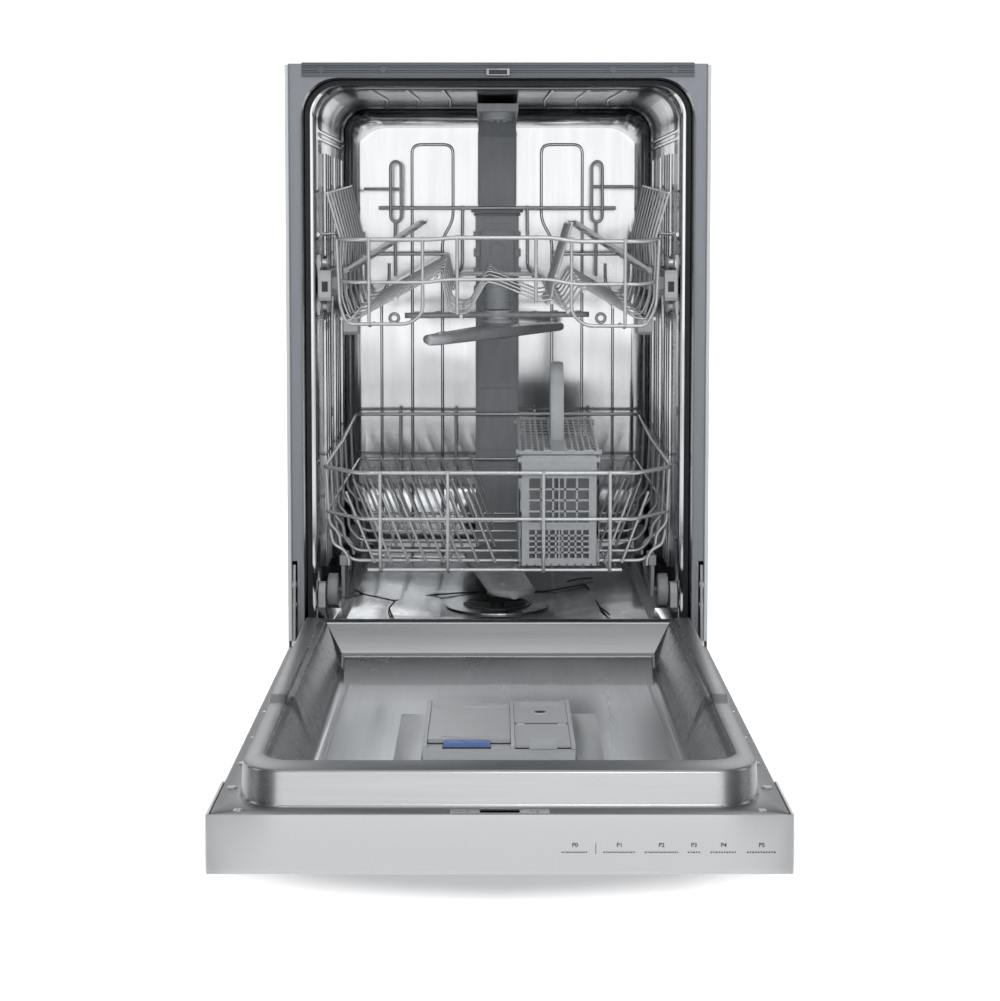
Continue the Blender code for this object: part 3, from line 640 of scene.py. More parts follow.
def build_hinges():
    """Rivets, cheek and hooked spring of each door hinge."""
    spring_z = 216
    for name, side in SIDES.items():
        bm = bmesh.new()
        head = side * 218.6
        for y, z, radius in ((-8, 204.5, 6.5), (1, 268, 4.2), (2, 246, 3.2), (-60, 184, 4), (-120, 184, 4)):
            add_rod(bm, (side * 214.2, y, z), (head, y, z), radius, 24)
            add_rod(bm, (head, y, z), (side * 219.2, y, z), radius * 0.6, 24)
        mesh_piece(f"hinge_rivets_{name}", bm, ZINC, "door", bevel=0.3)

        bm = bmesh.new()
        add_prism(bm, [(2.6, 209), (2.6, 292), (6, 292), (6, 209)], "X", (side * 209.4, side * 210.9))
        for z in (222, 280):
            add_rod(bm, (side * 209.2, 30, z), (side * 214.4, 30, z), 3.5, 20)
        mesh_piece(f"hinge_cheek_{name}", bm, DARK_ZINC, "cabinet")

        x = side * 215.6
        steps = 340
        coil = []
        for i in range(steps + 1):
            angle = 2 * math.pi * i / 10
            coil.append((x + 3.0 * math.cos(angle), 112 + 190 * i / steps, spring_z + 3.0 * math.sin(angle)))
        ends = [[(x, start, spring_z), (x, end, spring_z)] for start, end in ((96, 112), (302, 322))]
        wires(f"spring_coil_{name}", [coil, *ends], 0.75, ZINC, "cabinet",
              [f"door_spring_{name}"], bend=0)


def build_feet():
    """A ribbed pad, a threaded stem and six grip pegs at each corner."""
    profile = [(0, 0), (16.6, 0), (18, 1.2), (18, 5), (16.5, 6.5), (8, 8.5), (5, 9)]
    for i in range(8):
        thread = 9 + i * 1.5
        profile += [(4.2, thread + 0.4), (5, thread + 1.0)]
    profile += [(4.4, 21.6), (0, 21.6)]
    for end in ("front", "rear"):
        for name in SIDES:
            foot = f"levelling_foot_{end}_{name}"
            centre = centre_mm(foot)
            bm = bmesh.new()
            add_turned(bm, profile, (centre.x, centre.y, 0), steps=32)
            for a, b in around(6, 14):
                add_rod(bm, (centre.x + a, centre.y + b, 5.5), (centre.x + a, centre.y + b, 7.6), 2.2, 12)
            mesh_piece(f"foot_{end}_{name}", bm, BLACK, "cabinet", [foot])


def build_duct():
    """The water duct's moulded ribs, its front cover, clips and ceiling nozzle."""
    bm = bmesh.new()
    front = 460.2
    for x in (-25, 25):
        add_box(bm, (x - 1.2, x + 1.2), (front - 1.6, front + 1), (240, 640))
    for z in (280, 360, 440, 520):
        add_box(bm, (-24, 24), (front - 0.9, front + 1), (z - 0.8, z + 0.8))
    cover = [(-24, 552), (-21, 640), (-14, 652), (14, 652), (21, 640), (24, 552)]
    add_prism(bm, cover, "Y", (front - 0.2, front + 1))
    for z in (566, 590, 614, 636):
        for side in SIDES.values():
            add_box(bm, (side * 22, side * 30), (front - 3, front + 2), (z - 5, z + 5))
    clip_y = 458
    for z in (663, 670):
        add_rod(bm, (-30, clip_y, z), (30, clip_y, z), 1.3, 12)
    for side in SIDES.values():
        add_rod(bm, (side * 29, clip_y, 668), (side * 33, clip_y, 668), 2.4, 12)
        add_box(bm, (side * 22, side * 24.6), (clip_y + 1, clip_y + 6), (676, 768))
    mesh_piece("duct_ribs", bm, DUCT, "cabinet", bevel=0.4)

    bm = bmesh.new()
    nozzle_y = 250
    add_turned(bm, [(0, 771.4), (13, 771.4), (17, 773), (17, 775), (0, 775)], (0, nozzle_y, 0), steps=36)
    for a, b in around(8, 9):
        add_rod(bm, (a, nozzle_y + b, 770.4), (a, nozzle_y + b, 772), 1.6, 12)
    mesh_piece("ceiling_nozzle", bm, ARM, "cabinet", bevel=0.3)


def build_rollers():
    """The upper rails' rollers on their plates, and the guide blocks of the lower rack."""
    roller = [(0, 0), (7.0, 0), (7.6, 0.8), (7.6, 2.0), (6.2, 3.0), (6.2, 6.4), (7.6, 7.2), (7.6, 8.6),
              (2.6, 8.8), (2.6, 9.6), (0, 9.6)]
    lips = ([(60, 612), (64, 618), (108, 618), (112, 612), (112, 604), (60, 604)],
            [(60, 559), (60, 567), (112, 567), (112, 559), (108, 553), (64, 553)])
    for name, side in SIDES.items():
        plate = side * 193
        bm = bmesh.new()
        for y in (74, 98):
            for z in (562, 609):
                add_turned(bm, [(r, -side * h) for r, h in roller], (plate, y, z), "X", 28)
        mesh_piece(f"roller_wheels_{name}", bm, CAP, "cabinet")
        bm = bmesh.new()
        for lip in lips:
            add_prism(bm, lip, "X", (side * 191.6, plate))
        mesh_piece(f"roller_plate_lips_{name}", bm, ZINC, "cabinet", bevel=0.3)

        low, high = box_mm(f"lower_guide_{name}")
        outline = [(low.y, low.z), (low.y, high.z - 9), (low.y + 7, high.z), (high.y - 5, high.z),
                   (high.y, high.z - 5), (high.y, low.z)]
        bm = bmesh.new()
        add_prism(bm, outline, "X", (low.x, high.x))
        face = low.x if side > 0 else high.x
        middle = (low.y + high.y) / 2
        add_rod(bm, (face - side * 0.6, middle, low.z + 12), (face, middle, low.z + 12), 4, 20)
        mesh_piece(f"guide_block_{name}", bm, CAP, "cabinet", [f"lower_guide_{name}"],
                   bevel=1.2)


# ---------------------------------------------------------------- racks

RIM_WIRE = 2.3
FRAME_WIRE = 1.9
# The reach of the outermost wires past their own middle lines.
WIRE_HALF = 2.0
# The thickness of the cutlery basket's walls.
WALL = 1.8
BAR_FACES = ((0, 1, 2, 3), (4, 5, 6, 7), (0, 1, 5, 4), (1, 2, 6, 5), (2, 3, 7, 6), (3, 0, 4, 7))


def build_lower_basket():
    """The lower rack's rim, its frame of bent wires, and the tines with their round tips."""
    rim = 390.0
    rim_back = rim + 17
    middle = 341.0
    floor = 287.5
    under = 281.5
    front = LOWER_LOW.y + WIRE_HALF
    back = LOWER_HIGH.y - WIRE_HALF

    heavy = mirrored([(-146, front, rim), (-187, 36, rim), (-187, 300, rim), (-182, back, rim_back)])
    wires("lower_rim", [[*heavy, True]], RIM_WIRE, WIRE_COAT, "lower_rack",
          ["lower_rack_basket"], bend=14)

    band = mirrored([(-142, front + 0.6, middle), (-185, 40, middle), (-184, 300, middle), (-178, back, 349)])
    frame_wires = [[*band, True], [(-138, front + 7.5, 286), (131, front + 7.5, 286)]]
    for x in (-124, -53, 48, 118):
        frame_wires.append([(x, front - 2.0, rim + 2), (x, front - 2.0, under + 20),
                            (x, front + 5.0, under + 2), (x, front + 30, under),
                            (x, back, under), (x, back + 2.0, 412)])
    for y, half in ((40, 185.5), (104, 186), (176, 186), (248, 186), (320, 186), (392, 184)):
        top = rim + 17 * max(0, y - 300) / 155
        frame_wires.append(mirrored([(-half, y, top + 1), (-half + 3, y, 328), (-half + 14, y, 317),
                                     (-half + 15, y, 302), (-half + 27, y, floor)]))
    for side in SIDES.values():
        for y in (35, 107, 395):
            hanger = ((181, 322), (178, 306), (166, 300), (161, 290), (161, 283))
            frame_wires.append([(side * x, y, z) for x, z in hanger])
    wires("lower_frame_wires", frame_wires, FRAME_WIRE, WIRE_COAT, "lower_rack", bend=9)

    # Tines lean outwards on a pitch of 18.6 mm. The cutlery basket takes the front right.
    pitch = 18.6
    tall = 75
    tines = []
    for y in (31, 140, 249, 358):
        for i in range(8):
            x = -133 + pitch * i
            tines.append([(x, y, floor - 1), (x - 30, y, floor + tall)])
        for i in range(7):
            x = 22 + pitch * i
            if y >= BASKET_HIGH.y + 12 or x >= BASKET_HIGH.x + 8:
                tines.append([(x, y, floor - 1), (x + 28, y, floor + tall)])
    wires("lower_tines", tines, 1.6, WIRE_COAT, "lower_rack", bend=1)

    bm = bmesh.new()
    for path in tines:
        tip = Matrix.Translation(place(*path[-1]))
        bmesh.ops.create_uvsphere(bm, u_segments=10, v_segments=6, radius=2.0 * MM, matrix=tip)
    mesh_piece("tine_tips", bm, WIRE_COAT, "lower_rack", sharp=80)


def build_wheels():
    """Each rack wheel is a rounded tread on five spokes, and turns on a carrier of the lower rack."""
    tread = [(9.2, -5.8), (14.6, -5.8), (15.4, -5.0), (17.2, -5.0), (17.5, -4.4), (17.5, 4.4), (17.2, 5.0),
             (15.4, 5.0), (14.6, 5.8), (9.2, 5.8), (8.6, 4.6), (8.6, -4.6)]
    hub = [(2.6, -5.9), (5.2, -5.9), (5.8, -5.2), (5.8, 5.2), (5.2, 5.9), (2.6, 5.9)]
    for end in ("front", "rear"):
        for name, side in SIDES.items():
            x, y, z = centre_mm(f"rack_wheel_{end}_{name}")
            bm = bmesh.new()
            add_turned(bm, tread, (x, y, z), "X", 44)
            add_turned(bm, hub, (x, y, z), "X", 24)
            for a, b in around(5, 1):
                add_rod(bm, (x, y + 4.8 * a, z + 4.8 * b), (x, y + 9.4 * a, z + 9.4 * b), 2.0, 10)
            mesh_piece(f"wheel_disc_{end}_{name}", bm, WHEEL, f"wheel_{end}_{name}",
                       [f"rack_wheel_{end}_{name}"])

            # The axle's carrier is clipped to the basket's wires and goes through the wheel.
            bm = bmesh.new()
            inner = side * 165.5
            add_rod(bm, (inner, y, z), (x + side * 5.6, y, z), 2.4, 20)
            add_rod(bm, (x + side * 6.2, y, z), (x + side * 7.6, y, z), 4.4, 20)
            outline = [(y - 15, 292), (y - 15, 279), (y - 7, z - 7), (y + 7, z - 7), (y + 15, 279),
                       (y + 15, 292)]
            add_prism(bm, outline, "X", (inner, side * 169.5))
            for clip in (y - 17, y + 9):
                add_box(bm, (side * 163, side * 171), (clip, clip + 8), (283, 294))
            mesh_piece(f"wheel_carrier_{end}_{name}", bm, WHEEL, "lower_rack", bevel=0.7)


def grid_panel(bm, corner, across, up, columns, rows, bar, depth):
    """Bars that leave columns by rows of windows in a rectangle; corner, across and up are vectors."""
    width = across.length
    height = up.length
    across_way = across.normalized()
    up_way = up.normalized()
    out = across_way.cross(up_way) * depth / 2
    for count, length, way, other, reach in ((columns, width, across_way, up_way, height),
                                             (rows, height, up_way, across_way, width)):
        half = way * bar / 2
        for i in range(1, count):
            middle = corner + way * (length * i / count)
            corners = []
            for end in (middle, middle + other * reach):
                corners += [end - half - out, end + half - out, end + half + out, end - half + out]
            verts = [bm.verts.new(place(*p)) for p in corners]
            faces = [bm.faces.new([verts[k] for k in quad]) for quad in BAR_FACES]
            bmesh.ops.recalc_face_normals(bm, faces=faces)


def basket_wall(bm, corner, across, out, heights):
    """One wall of the cutlery basket: a plain frame round a coarse and a fine grid of windows."""
    bottom, fine_low, fine_high, coarse_low, coarse_high, top = heights
    width = across.length
    way = across.normalized()
    margin = width * 0.13
    inner = width - 2 * margin
    up = Vector((0, 0, 1))

    def plate(start, length, low, high):
        a = corner + way * start
        b = a + way * length + out * WALL
        add_box(bm, (a.x, b.x), (a.y, b.y), (low, high))

    for low, high in ((bottom, fine_low), (fine_high, coarse_low), (coarse_high, top)):
        plate(0, width, low, high)
    for low, high in ((fine_low, fine_high), (coarse_low, coarse_high)):
        plate(0, margin, low, high)
        plate(width - margin, margin, low, high)
    base = corner + way * margin + out * WALL / 2
    columns = 5 if width < 120 else 9
    for low, high, count, rows, bar in ((coarse_low, coarse_high, columns, 4, 2.0),
                                        (fine_low, fine_high, columns * 2 - 1, 5, 1.9)):
        grid_panel(bm, base + up * (low - base.z), way * inner, up * (high - low), count, rows, bar, 1.6)


def build_cutlery_basket():
    """Four walls of windows, a floor grid, an inner sleeve and the partitions."""
    x0, y0, floor = BASKET_LOW
    x1, y1, rear_top = BASKET_HIGH
    front_top = LID_LOW.z - 0.2
    bm = bmesh.new()
    heights = (floor, 299, 329, 337, 384, front_top)
    for y in (y0, y1 - WALL):
        basket_wall(bm, Vector((x0, y, floor)), Vector((x1 - x0, 0, 0)), Vector((0, 1, 0)), heights)
    for x in (x0, x1 - WALL):
        basket_wall(bm, Vector((x, y0, floor)), Vector((0, y1 - y0, 0)), Vector((1, 0, 0)), heights)
    for x in (x0, x1 - WALL):
        add_prism(bm, [(y0, front_top), (y1, front_top), (y1, rear_top)], "X", (x, x + WALL))
    add_box(bm, (x0, x1), (y1 - WALL, y1), (front_top, rear_top))
    # An inner sleeve stands behind the fine grids of the sides and the rear, and ribs run up the corners.
    add_box(bm, (x0 + 4, x1 - 4), (y1 - 7, y1 - 5), (floor, 384))
    for x in (x0 + 5, x1 - 7):
        add_box(bm, (x, x + 2), (y0 + 5, y1 - 5), (floor, 332))
    for x in (x0, x1 - 3):
        for y in (y0, y1 - 3):
            add_box(bm, (x, x + 3), (y, y + 3), (floor, front_top))
    # Three partitions make six compartments.
    for y in (y0 + 62, y0 + 126):
        add_box(bm, (x0 + 1, x1 - 1), (y, y + 1.6), (floor, 392))
    middle = (x0 + x1) / 2
    add_box(bm, (middle - 0.8, middle + 0.8), (y0 + 1, y1 - 1), (floor, 392))
    # A raised edge strengthens the solid top band.
    edge = (front_top - 7, front_top - 2)
    add_box(bm, (x0 - 0.8, x1 + 0.8), (y0 - 0.8, y0 + 1), edge)
    for x in (x0 - 0.8, x1 - 1):
        add_box(bm, (x, x + WALL), (y0, y1), edge)
    base = Vector((x0, y0, floor + WALL / 2))
    grid_panel(bm, base, Vector((x1 - x0, 0, 0)), Vector((0, y1 - y0, 0)), 10, 20, 2.4, WALL)
    mesh_piece("cutlery_basket_grids", bm, BASKET, "lower_rack", ["cutlery_basket"])


def build_cutlery_lid():
    """The lid's grid rises towards the rear; a strap handle stands in its middle."""
    x0, y0, bottom = LID_LOW
    x1, y1, top = LID_HIGH
    rise = 17.0
    z0 = bottom + 1.0
    bar_depth = 1.3
    slope = Vector((0, y1 - y0, rise))
    bm = bmesh.new()
    middle = (x0 + x1) / 2
    strap = 8.5
    for start, end in ((x0 + 2, middle - strap), (middle + strap, x1 - 2)):
        corner = Vector((start, y0, z0 + bar_depth / 2))
        grid_panel(bm, corner, Vector((end - start, 0, 0)), slope, 5, 12, 2.0, bar_depth)
    rail = [(y0 + 0.2, z0), (y1 - 0.2, z0 + rise), (y1 - 0.2, z0 + rise + 3.2), (y0 + 0.2, z0 + 3.2)]
    for start, width in ((x0, 3.0), (middle - strap, 2 * strap), (x1 - 3.0, 3.0)):
        add_prism(bm, rail, "X", (start, start + width))
    for y, z in ((y0, z0), (y1 - 3, z0 + rise)):
        add_box(bm, (x0, x1), (y, y + 3), (z, z + 3.4))
    # Lugs at the front and the hinges at the sides.
    for x in (x0 + 10, x0 + 30, x1 - 30, x1 - 10):
        add_rod(bm, (x - 4, y0 + 1.2, z0 + 3.2), (x + 4, y0 + 1.2, z0 + 3.2), 2.2, 14)
    for y in (y0 + 10, y1 - 14):
        z = z0 + rise * (y - y0) / (y1 - y0)
        for side, x in ((-1, x0), (1, x1)):
            add_rod(bm, (x - side, y, z), (x + side * 3.0, y, z), 3.4, 16)
    # The handle's bow widens at its feet, and a narrow rim runs along its edge.
    centre = 80
    bow = 26
    outer = [(48, z0)]
    for t in range(13):
        angle = math.pi * t / 12
        spread = 1.0 if t not in (0, 12) else 1.15
        outer.append((centre - bow * math.cos(angle) * spread, top - bow + bow * math.sin(angle)))
    outer.append((112, z0))
    inner = [(58 if y < centre else 102, z0) if z == z0 else (centre + (y - centre) * 0.66, z - 9)
             for y, z in outer]
    add_prism(bm, outer + inner[::-1], "X", (middle - 5, middle + 5))
    rims = []
    for inset, drop in ((1.2, 1.0), (2.2, 2.0)):
        rims.append([(y + (inset if y < centre else -inset), z - (drop if z > z0 else 0)) for y, z in outer])
    add_prism(bm, rims[0] + rims[1][::-1], "X", (middle - 7, middle + 7))
    mesh_piece("cutlery_lid_grid", bm, BASKET, "lower_rack", ["cutlery_lid"])


def build_upper_basket():
    """The upper rack's rim, its front pockets and rear loops, the waved floor, the fans and the grill."""
    front = UPPER_LOW.y + WIRE_HALF
    back = UPPER_HIGH.y - WIRE_HALF
    rim = 635.0
    rear_rim = 671.0
    second = 591.0
    low = 546.0
    climb = 13.0

    heavy = [[(-67, back, 613), (-172, back, 613), (-172, back - 8, rim), (-172, 22, rim), (-154, front, rim),
              (-70, front, rim), (-48, front, rim + 2), (58, front, rim + 2), (80, front, rim - 2),
              (154, front, rim - 2), (172, 22, rim), (172, back - 8, rim), (172, back, 613), (72, back, 613)],
             [(-150, back, rear_rim), (150, back, rear_rim)]]
    wires("upper_rim", heavy, RIM_WIRE, WIRE_COAT, "upper_rack", ["upper_rack_basket"],
          bend=20)

    frame_wires = [
        [(-170, 60, second + 4), (-170, 22, second), (-152, front, second - 1), (-74, front, second - 1),
         (-54, front, second + 2), (56, front, second + 2), (80, front, second - 3), (152, front, second - 3),
         (170, 22, second), (170, 60, second + 4)],
        # The two deep pockets at the front.
        [(-171, 14, rim), (-168, 14, 566), (-160, front, low), (-94, front, low), (-79.5, front, 557),
         (-79.5, front, rim + 3)],
        [(77.5, front, rim + 3), (77.5, front, 557), (92, front, low - 2), (157, front, low - 2),
         (168, 14, 564), (171, 14, rim)],
        # The front's uprights.
        [(-136, front - 2, rim + 2), (-136, front - 2, low - 2), (-134, 60, low - 2)],
        [(134, front - 2, rim + 2), (134, front - 2, low - 4), (132, 60, low - 3)],
        [(-43, front, rim + 5), (-43, front, 556)],
        [(40, front, rim + 5), (40, front, 568)],
        # Rear bars.
        [(-168, back - 2, 695), (-124, back - 2, 695)],
        [(121, back - 2, 698), (172, back - 2, 698)],
    ]
    for x in (-44, 38):
        frame_wires.append([(x, back, rear_rim + 3), (x, back, 596), (x * 1.2, back - 20, 585)])
    # An upright capsule loop and a stem stand on each side of the rear.
    for x in (-128, 126):
        loop = []
        for i in range(18):
            angle = math.pi * (i % 9) / 8 + (math.pi if i > 8 else 0)
            centre_z = 722 if i < 9 else 661
            loop.append((x + 6.6 * math.cos(angle), back - 6, centre_z + 7.6 * math.sin(angle)))
        frame_wires.append([*loop, True])
        frame_wires.append([(x - 1, back - 3, 655), (x - 1, back - 3, 585)])
    for side in SIDES.values():
        for y in (112, 200, 288, 376):
            frame_wires.append([(side * 172, y, rim + 1), (side * 170, y, 575), (side * 163, y, 551)])
        frame_wires.append([(side * 166, 14, 551), (side * 166, back - 6, 551)])
        frame_wires.append([(side * 171, 30, 606), (side * 171, back - 10, 606)])
        frame_wires.append([*[(side * 121 + a, 236, 541 + b) for a, b in around(16, 5.2)], True])
    wires("upper_frame_wires", frame_wires, FRAME_WIRE, WIRE_COAT, "upper_rack", bend=9)

    # The floor's wires run across, each bent to the same wave. They climb to the rear and lift over the pipe.
    wave = [(-168, 628), (-166, 572), (-158, 551), (-150, 551), (-66, 597), (-61, 599), (-53, 561),
            (-46, 556.5), (-32, 556), (-14, 588), (-10, 590), (2, 587), (46, 569), (57, 572), (70, 561),
            (76, 561), (88, 581), (93, 583), (148, 551), (158, 550), (166, 570), (168, 628)]
    pipe_top = 590
    floor_wires = []
    last = 6
    for i in range(last + 1):
        y = 22 + (back - 34) * i / last
        path = []
        for x, z in wave:
            over_pipe = y > ARM_CENTRE_Y - 26 and abs(x) < 50 and z < pipe_top
            path.append((x, y, pipe_top if over_pipe else z + climb * i / last))
        floor_wires.append(path)
    wires("upper_floor_wires", floor_wires, 1.15, WIRE_COAT, "upper_rack", bend=6)

    lengthwise = []
    for x, z in ((-157, 549), (-108, 572.5), (-66, 594.5), (-39, 554), (57, 568.5), (74, 558.5), (91, 580),
                 (122, 564), (156, 548)):
        stop = back - 10 if abs(x) > 50 else ARM_CENTRE_Y - 34
        lengthwise.append([(x, front + 4, z), (x, stop, z + climb * (stop - front) / (back - front))])
    wires("upper_long_wires", lengthwise, FRAME_WIRE, WIRE_COAT, "upper_rack", bend=4)

    # Side fans hold tall plates. Their tips climb to the rear along a bar.
    fan_start = 24
    fan_low = 684
    fan_high = 698
    fans = []
    for side in SIDES.values():
        tip = side * 181.5
        for i in range(10):
            y = fan_start + 40.3 * i
            height = fan_high - (fan_high - fan_low) * (1 - i / 9)
            fans.append([(side * 168.5, y, 606), (side * 167, y, 634), (tip, y, height)])
        fans.append([(tip, fan_start, fan_low), (tip, fan_start + 363, fan_high)])
    # The tilted grill parts the glasses.
    grill_pitch = 26
    grill_end = grill_pitch * 9
    for y in range(grill_pitch, grill_end + 1, grill_pitch):
        fans.append([(51, y, 566), (57, y, 571.5), (60, y, 590), (79, y, 652)])
    fans.append([(79, grill_pitch, 652), (79, grill_end, 652)])
    fans.append([(62, fan_start, 596), (62, grill_end, 596)])
    wires("upper_fans", fans, 1.5, WIRE_COAT, "upper_rack", bend=5)


def build_upper_fittings():
    """Rail ends with black squares painted as the shade of their holes, rail clips, rack stops, the pipe's
    ribs and its hub rings.
    """
    for name, side in SIDES.items():
        end = box_mm(f"upper_rail_{name}")[0].y
        bm = bmesh.new()
        outline = [(end + 9, 569), (end, 569), (end - 3, 573), (end - 3, 598), (end, 602), (end + 9, 602)]
        add_prism(bm, outline, "X", (side * 178.4, side * 192.6))
        mesh_piece(f"rail_cap_{name}", bm, CAP, "upper_rack", bevel=1.0)
        # A black square on the cap's end stands for its hole: painted shade.
        bm = bmesh.new()
        add_box(bm, (side * 182.0, side * 188.4), (end - 3.4, end - 2.7), (579, 590))
        mesh_piece(f"rail_cap_hole_{name}", bm, BLACK, "upper_rack")

        bm = bmesh.new()
        clip = [(side * x, z) for x, z in ((172, 578), (184, 582), (184, 592), (172, 596), (169.5, 590),
                                           (169.5, 584))]
        for y in (70, 230, 390):
            add_prism(bm, clip, "Y", (y, y + 22))
        mesh_piece(f"rail_clips_{name}", bm, CAP, "upper_rack", bevel=1.0)

        bm = bmesh.new()
        stop = [(60, 549), (60, 535), (66, 531), (100, 531), (104, 535), (104, 549), (92, 549), (92, 541),
                (74, 541), (74, 549)]
        add_prism(bm, stop, "X", (side * 152, side * 168))
        mesh_piece(f"rack_stop_{name}", bm, CAP, "upper_rack", bevel=1.0)

    bm = bmesh.new()
    hub = (0, ARM_CENTRE_Y, 0)
    for y in (290, 320, 350, 380, 410):
        add_box(bm, (-14.8, 14.8), (y, y + 2), (560.4, 584.8))
    add_box(bm, (-6, 6), (275, 438), (583.5, 587))
    for z, radius in ((553, 17.4), (560, 18.2), (569, 17.4), (578, 18.4)):
        add_collar(bm, (0, radius), (z, z + 2.4), hub)
    add_turned(bm, [(0, 583), (14, 583), (10, 589), (0, 589)], hub)
    for y in (441, 446):
        add_collar(bm, (0, 12.6), (y, y + 2.2), (0, 0, 572), "Y", 32)
    mesh_piece("feed_pipe_ribs", bm, DUCT, "upper_rack", bevel=0.4)


def build_shelves():
    """Each cup shelf leans inwards and up from its pivot: three ribs, six bars and the pivot rod."""
    pivot_x = 163.0
    pivot_z = 602.0
    tilt = math.radians(33)
    cos = math.cos(tilt)
    sin = math.sin(tilt)
    for name, side in SIDES.items():
        low, high = box_mm(f"cup_shelf_{name}")
        y0 = low.y + 2
        y1 = high.y - 2

        def along(reach, lift):
            return side * (pivot_x - reach * cos - lift * sin), pivot_z + reach * sin + lift * cos

        def bar(reach, start, end, radius, steps):
            x, z = along(reach, 0)
            add_rod(bm, (x, start, z), (x, end, z), radius, steps)

        bm = bmesh.new()
        rib = [along(*spot) for spot in ((-3, -4), (90, -4), (95, -1), (95, 3), (88, 4.6), (-3, 4.6))]
        for y in (y0, y0 + 66, y1 - 3):
            add_prism(bm, rib, "Y", (y, y + 3.2))
        for reach in (8, 26, 44, 62, 80, 93):
            bar(reach, y0 + 1, y1 - 1, 1.9, 12)
        bar(0, y0 - 1, y1 + 1, 3.2, 20)
        mesh_piece(f"cup_shelf_{name}_frame", bm, BASKET, f"{name}_shelf",
                   [f"cup_shelf_{name}"], bevel=0.6)


# ---------------------------------------------------------------- spray arms and filter


def blade(bm, centre_y, reach, root, tip, angle, low, high, crown):
    """A hollow arm seen as a soft-edged blade: a flat underside, a crowned top and round tips."""
    cos = math.cos(math.radians(angle))
    sin = math.sin(math.radians(angle))
    stations = 26
    turns = 14
    middle = (low + high) / 2
    rings = []
    for i in range(stations + 1):
        t = -1 + 2 * i / stations
        x = reach * t
        width = root + (tip - root) * abs(t)
        end = max(0.0, (abs(t) * reach - (reach - tip)) / tip)
        width *= math.sqrt(max(0.03, 1 - end * end * 0.97))
        ring = []
        for a, b in around(turns, 1):
            across = width * math.copysign(abs(a) ** 0.7, a)
            rise = math.copysign(abs(b) ** 0.8, b)
            z = middle + (high - middle) * rise + (crown * (1 - abs(t)) if rise > 0 else 0)
            ring.append(bm.verts.new(place(x * cos - across * sin, centre_y + x * sin + across * cos, z)))
        rings.append(ring)
    faces = [bm.faces.new(rings[0]), bm.faces.new(rings[-1])]
    for first, second in zip(rings, rings[1:]):
        for k in range(turns):
            j = (k + 1) % turns
            faces.append(bm.faces.new((first[k], first[j], second[j], second[k])))
    bmesh.ops.recalc_face_normals(bm, faces=faces)


def nozzles(bm, centre_y, angle, reaches, z, side_step=4.0):
    """Small rings on both halves of a blade, stepping from one edge to the other."""
    cos = math.cos(math.radians(angle))
    sin = math.sin(math.radians(angle))
    profile = [(1.2, z - 1.4), (3.4, z - 1.4), (2.8, z + 1.0), (1.8, z + 1.0)]
    for i, reach in enumerate(reaches):
        across = side_step if i % 2 else -side_step
        for way in (reach, -reach):
            x = way * cos - across * sin
            y = centre_y + way * sin + across * cos
            add_turned(bm, profile, (x, y, 0), steps=14)


def build_arms():
    """The upper arm has a long and a short blade, the lower arm one broad blade, each on a turned hub."""
    base = box_mm("upper_spray_arm")[0].z
    bm = bmesh.new()
    long_angle = 64
    short_angle = 8
    blade(bm, ARM_CENTRE_Y, 172, 23, 15, long_angle, base + 0.6, base + 12.6, 4)
    blade(bm, ARM_CENTRE_Y, 110, 17, 9, short_angle, base + 24.5, base + 31, 1)
    nozzles(bm, ARM_CENTRE_Y, long_angle, (46, 74, 104, 132, 156), base + 14)
    nozzles(bm, ARM_CENTRE_Y, short_angle, (44, 70, 96), base + 31.5, 3)
    hub = ((0, 0), (13, 0), (17, 3), (17, 12), (15, 13.5), (15, 17), (18.5, 18.5), (18.5, 22), (15.4, 23.5),
           (15.4, 28), (17, 29), (17, 33.6), (0, 33.6))
    add_turned(bm, [(radius, base + z) for radius, z in hub], (0, ARM_CENTRE_Y, 0), steps=48)
    mesh_piece("upper_arm_blades", bm, ARM, "upper_arm", ["upper_spray_arm"], sharp=50)

    base = box_mm("lower_spray_arm")[0].z
    centre_y = centre_mm("lower_spray_arm").y
    bm = bmesh.new()
    angle = 97.0
    blade(bm, centre_y, 159, 30, 27, angle, base + 2, base + 12, 2)
    nozzles(bm, centre_y, angle, (40, 66, 94, 122, 144), base + 12.6, 9)
    hub = ((0, 0), (22, 0), (25, 2), (25, 13), (21, 14), (20, 16), (13, 17.4), (0, 17.9))
    add_turned(bm, [(radius, base + z) for radius, z in hub], (0, centre_y, 0), steps=48)
    mesh_piece("lower_arm_blades", bm, ARM, "lower_arm", ["lower_spray_arm"], sharp=50)


def build_filter():
    """The filter mug: a turned rim and floor, a cage of uprights, the grip and a ring of teeth."""
    centre_y = centre_mm("filter_cylinder").y
    centre = (0, centre_y, 0)
    floor = 158
    bm = bmesh.new()
    rim = [(38, 200), (40, 200), (40, 205), (39, 206.5), (35.5, 206.5), (34, 204.6), (34, 202), (31, 202),
           (31, 160), (33, 160), (33, 199)]
    add_turned(bm, rim, centre, steps=64)
    add_collar(bm, (0, 32.5), (floor, floor + 2), centre, steps=48)
    for a, b in around(24, 35.2):
        y = centre_y + b
        add_box(bm, (a - 0.8, a + 0.8), (y - 0.8, y + 0.8), (154, 200))
    add_box(bm, (-33, 33), (centre_y - 2.4, centre_y + 2.4), (192, 207.6))
    add_rod(bm, (0, centre_y, 192), (0, centre_y, 207.8), 8, 28)
    for a, b in around(12, 36.6):
        y = centre_y + b
        add_box(bm, (a - 1.6, a + 1.6), (y - 1.6, y + 1.6), (205.6, 207.4))
    mesh_piece("filter_mug", bm, FILTER, "filter", ["filter_cylinder"])


# ---------------------------------------------------------------- door

RIM_TOP = 233.0
RAIL_TOP = 238.5
BASIN = 187.0
BASIN_REAR = 200.0
REAR_TOP = 235.0


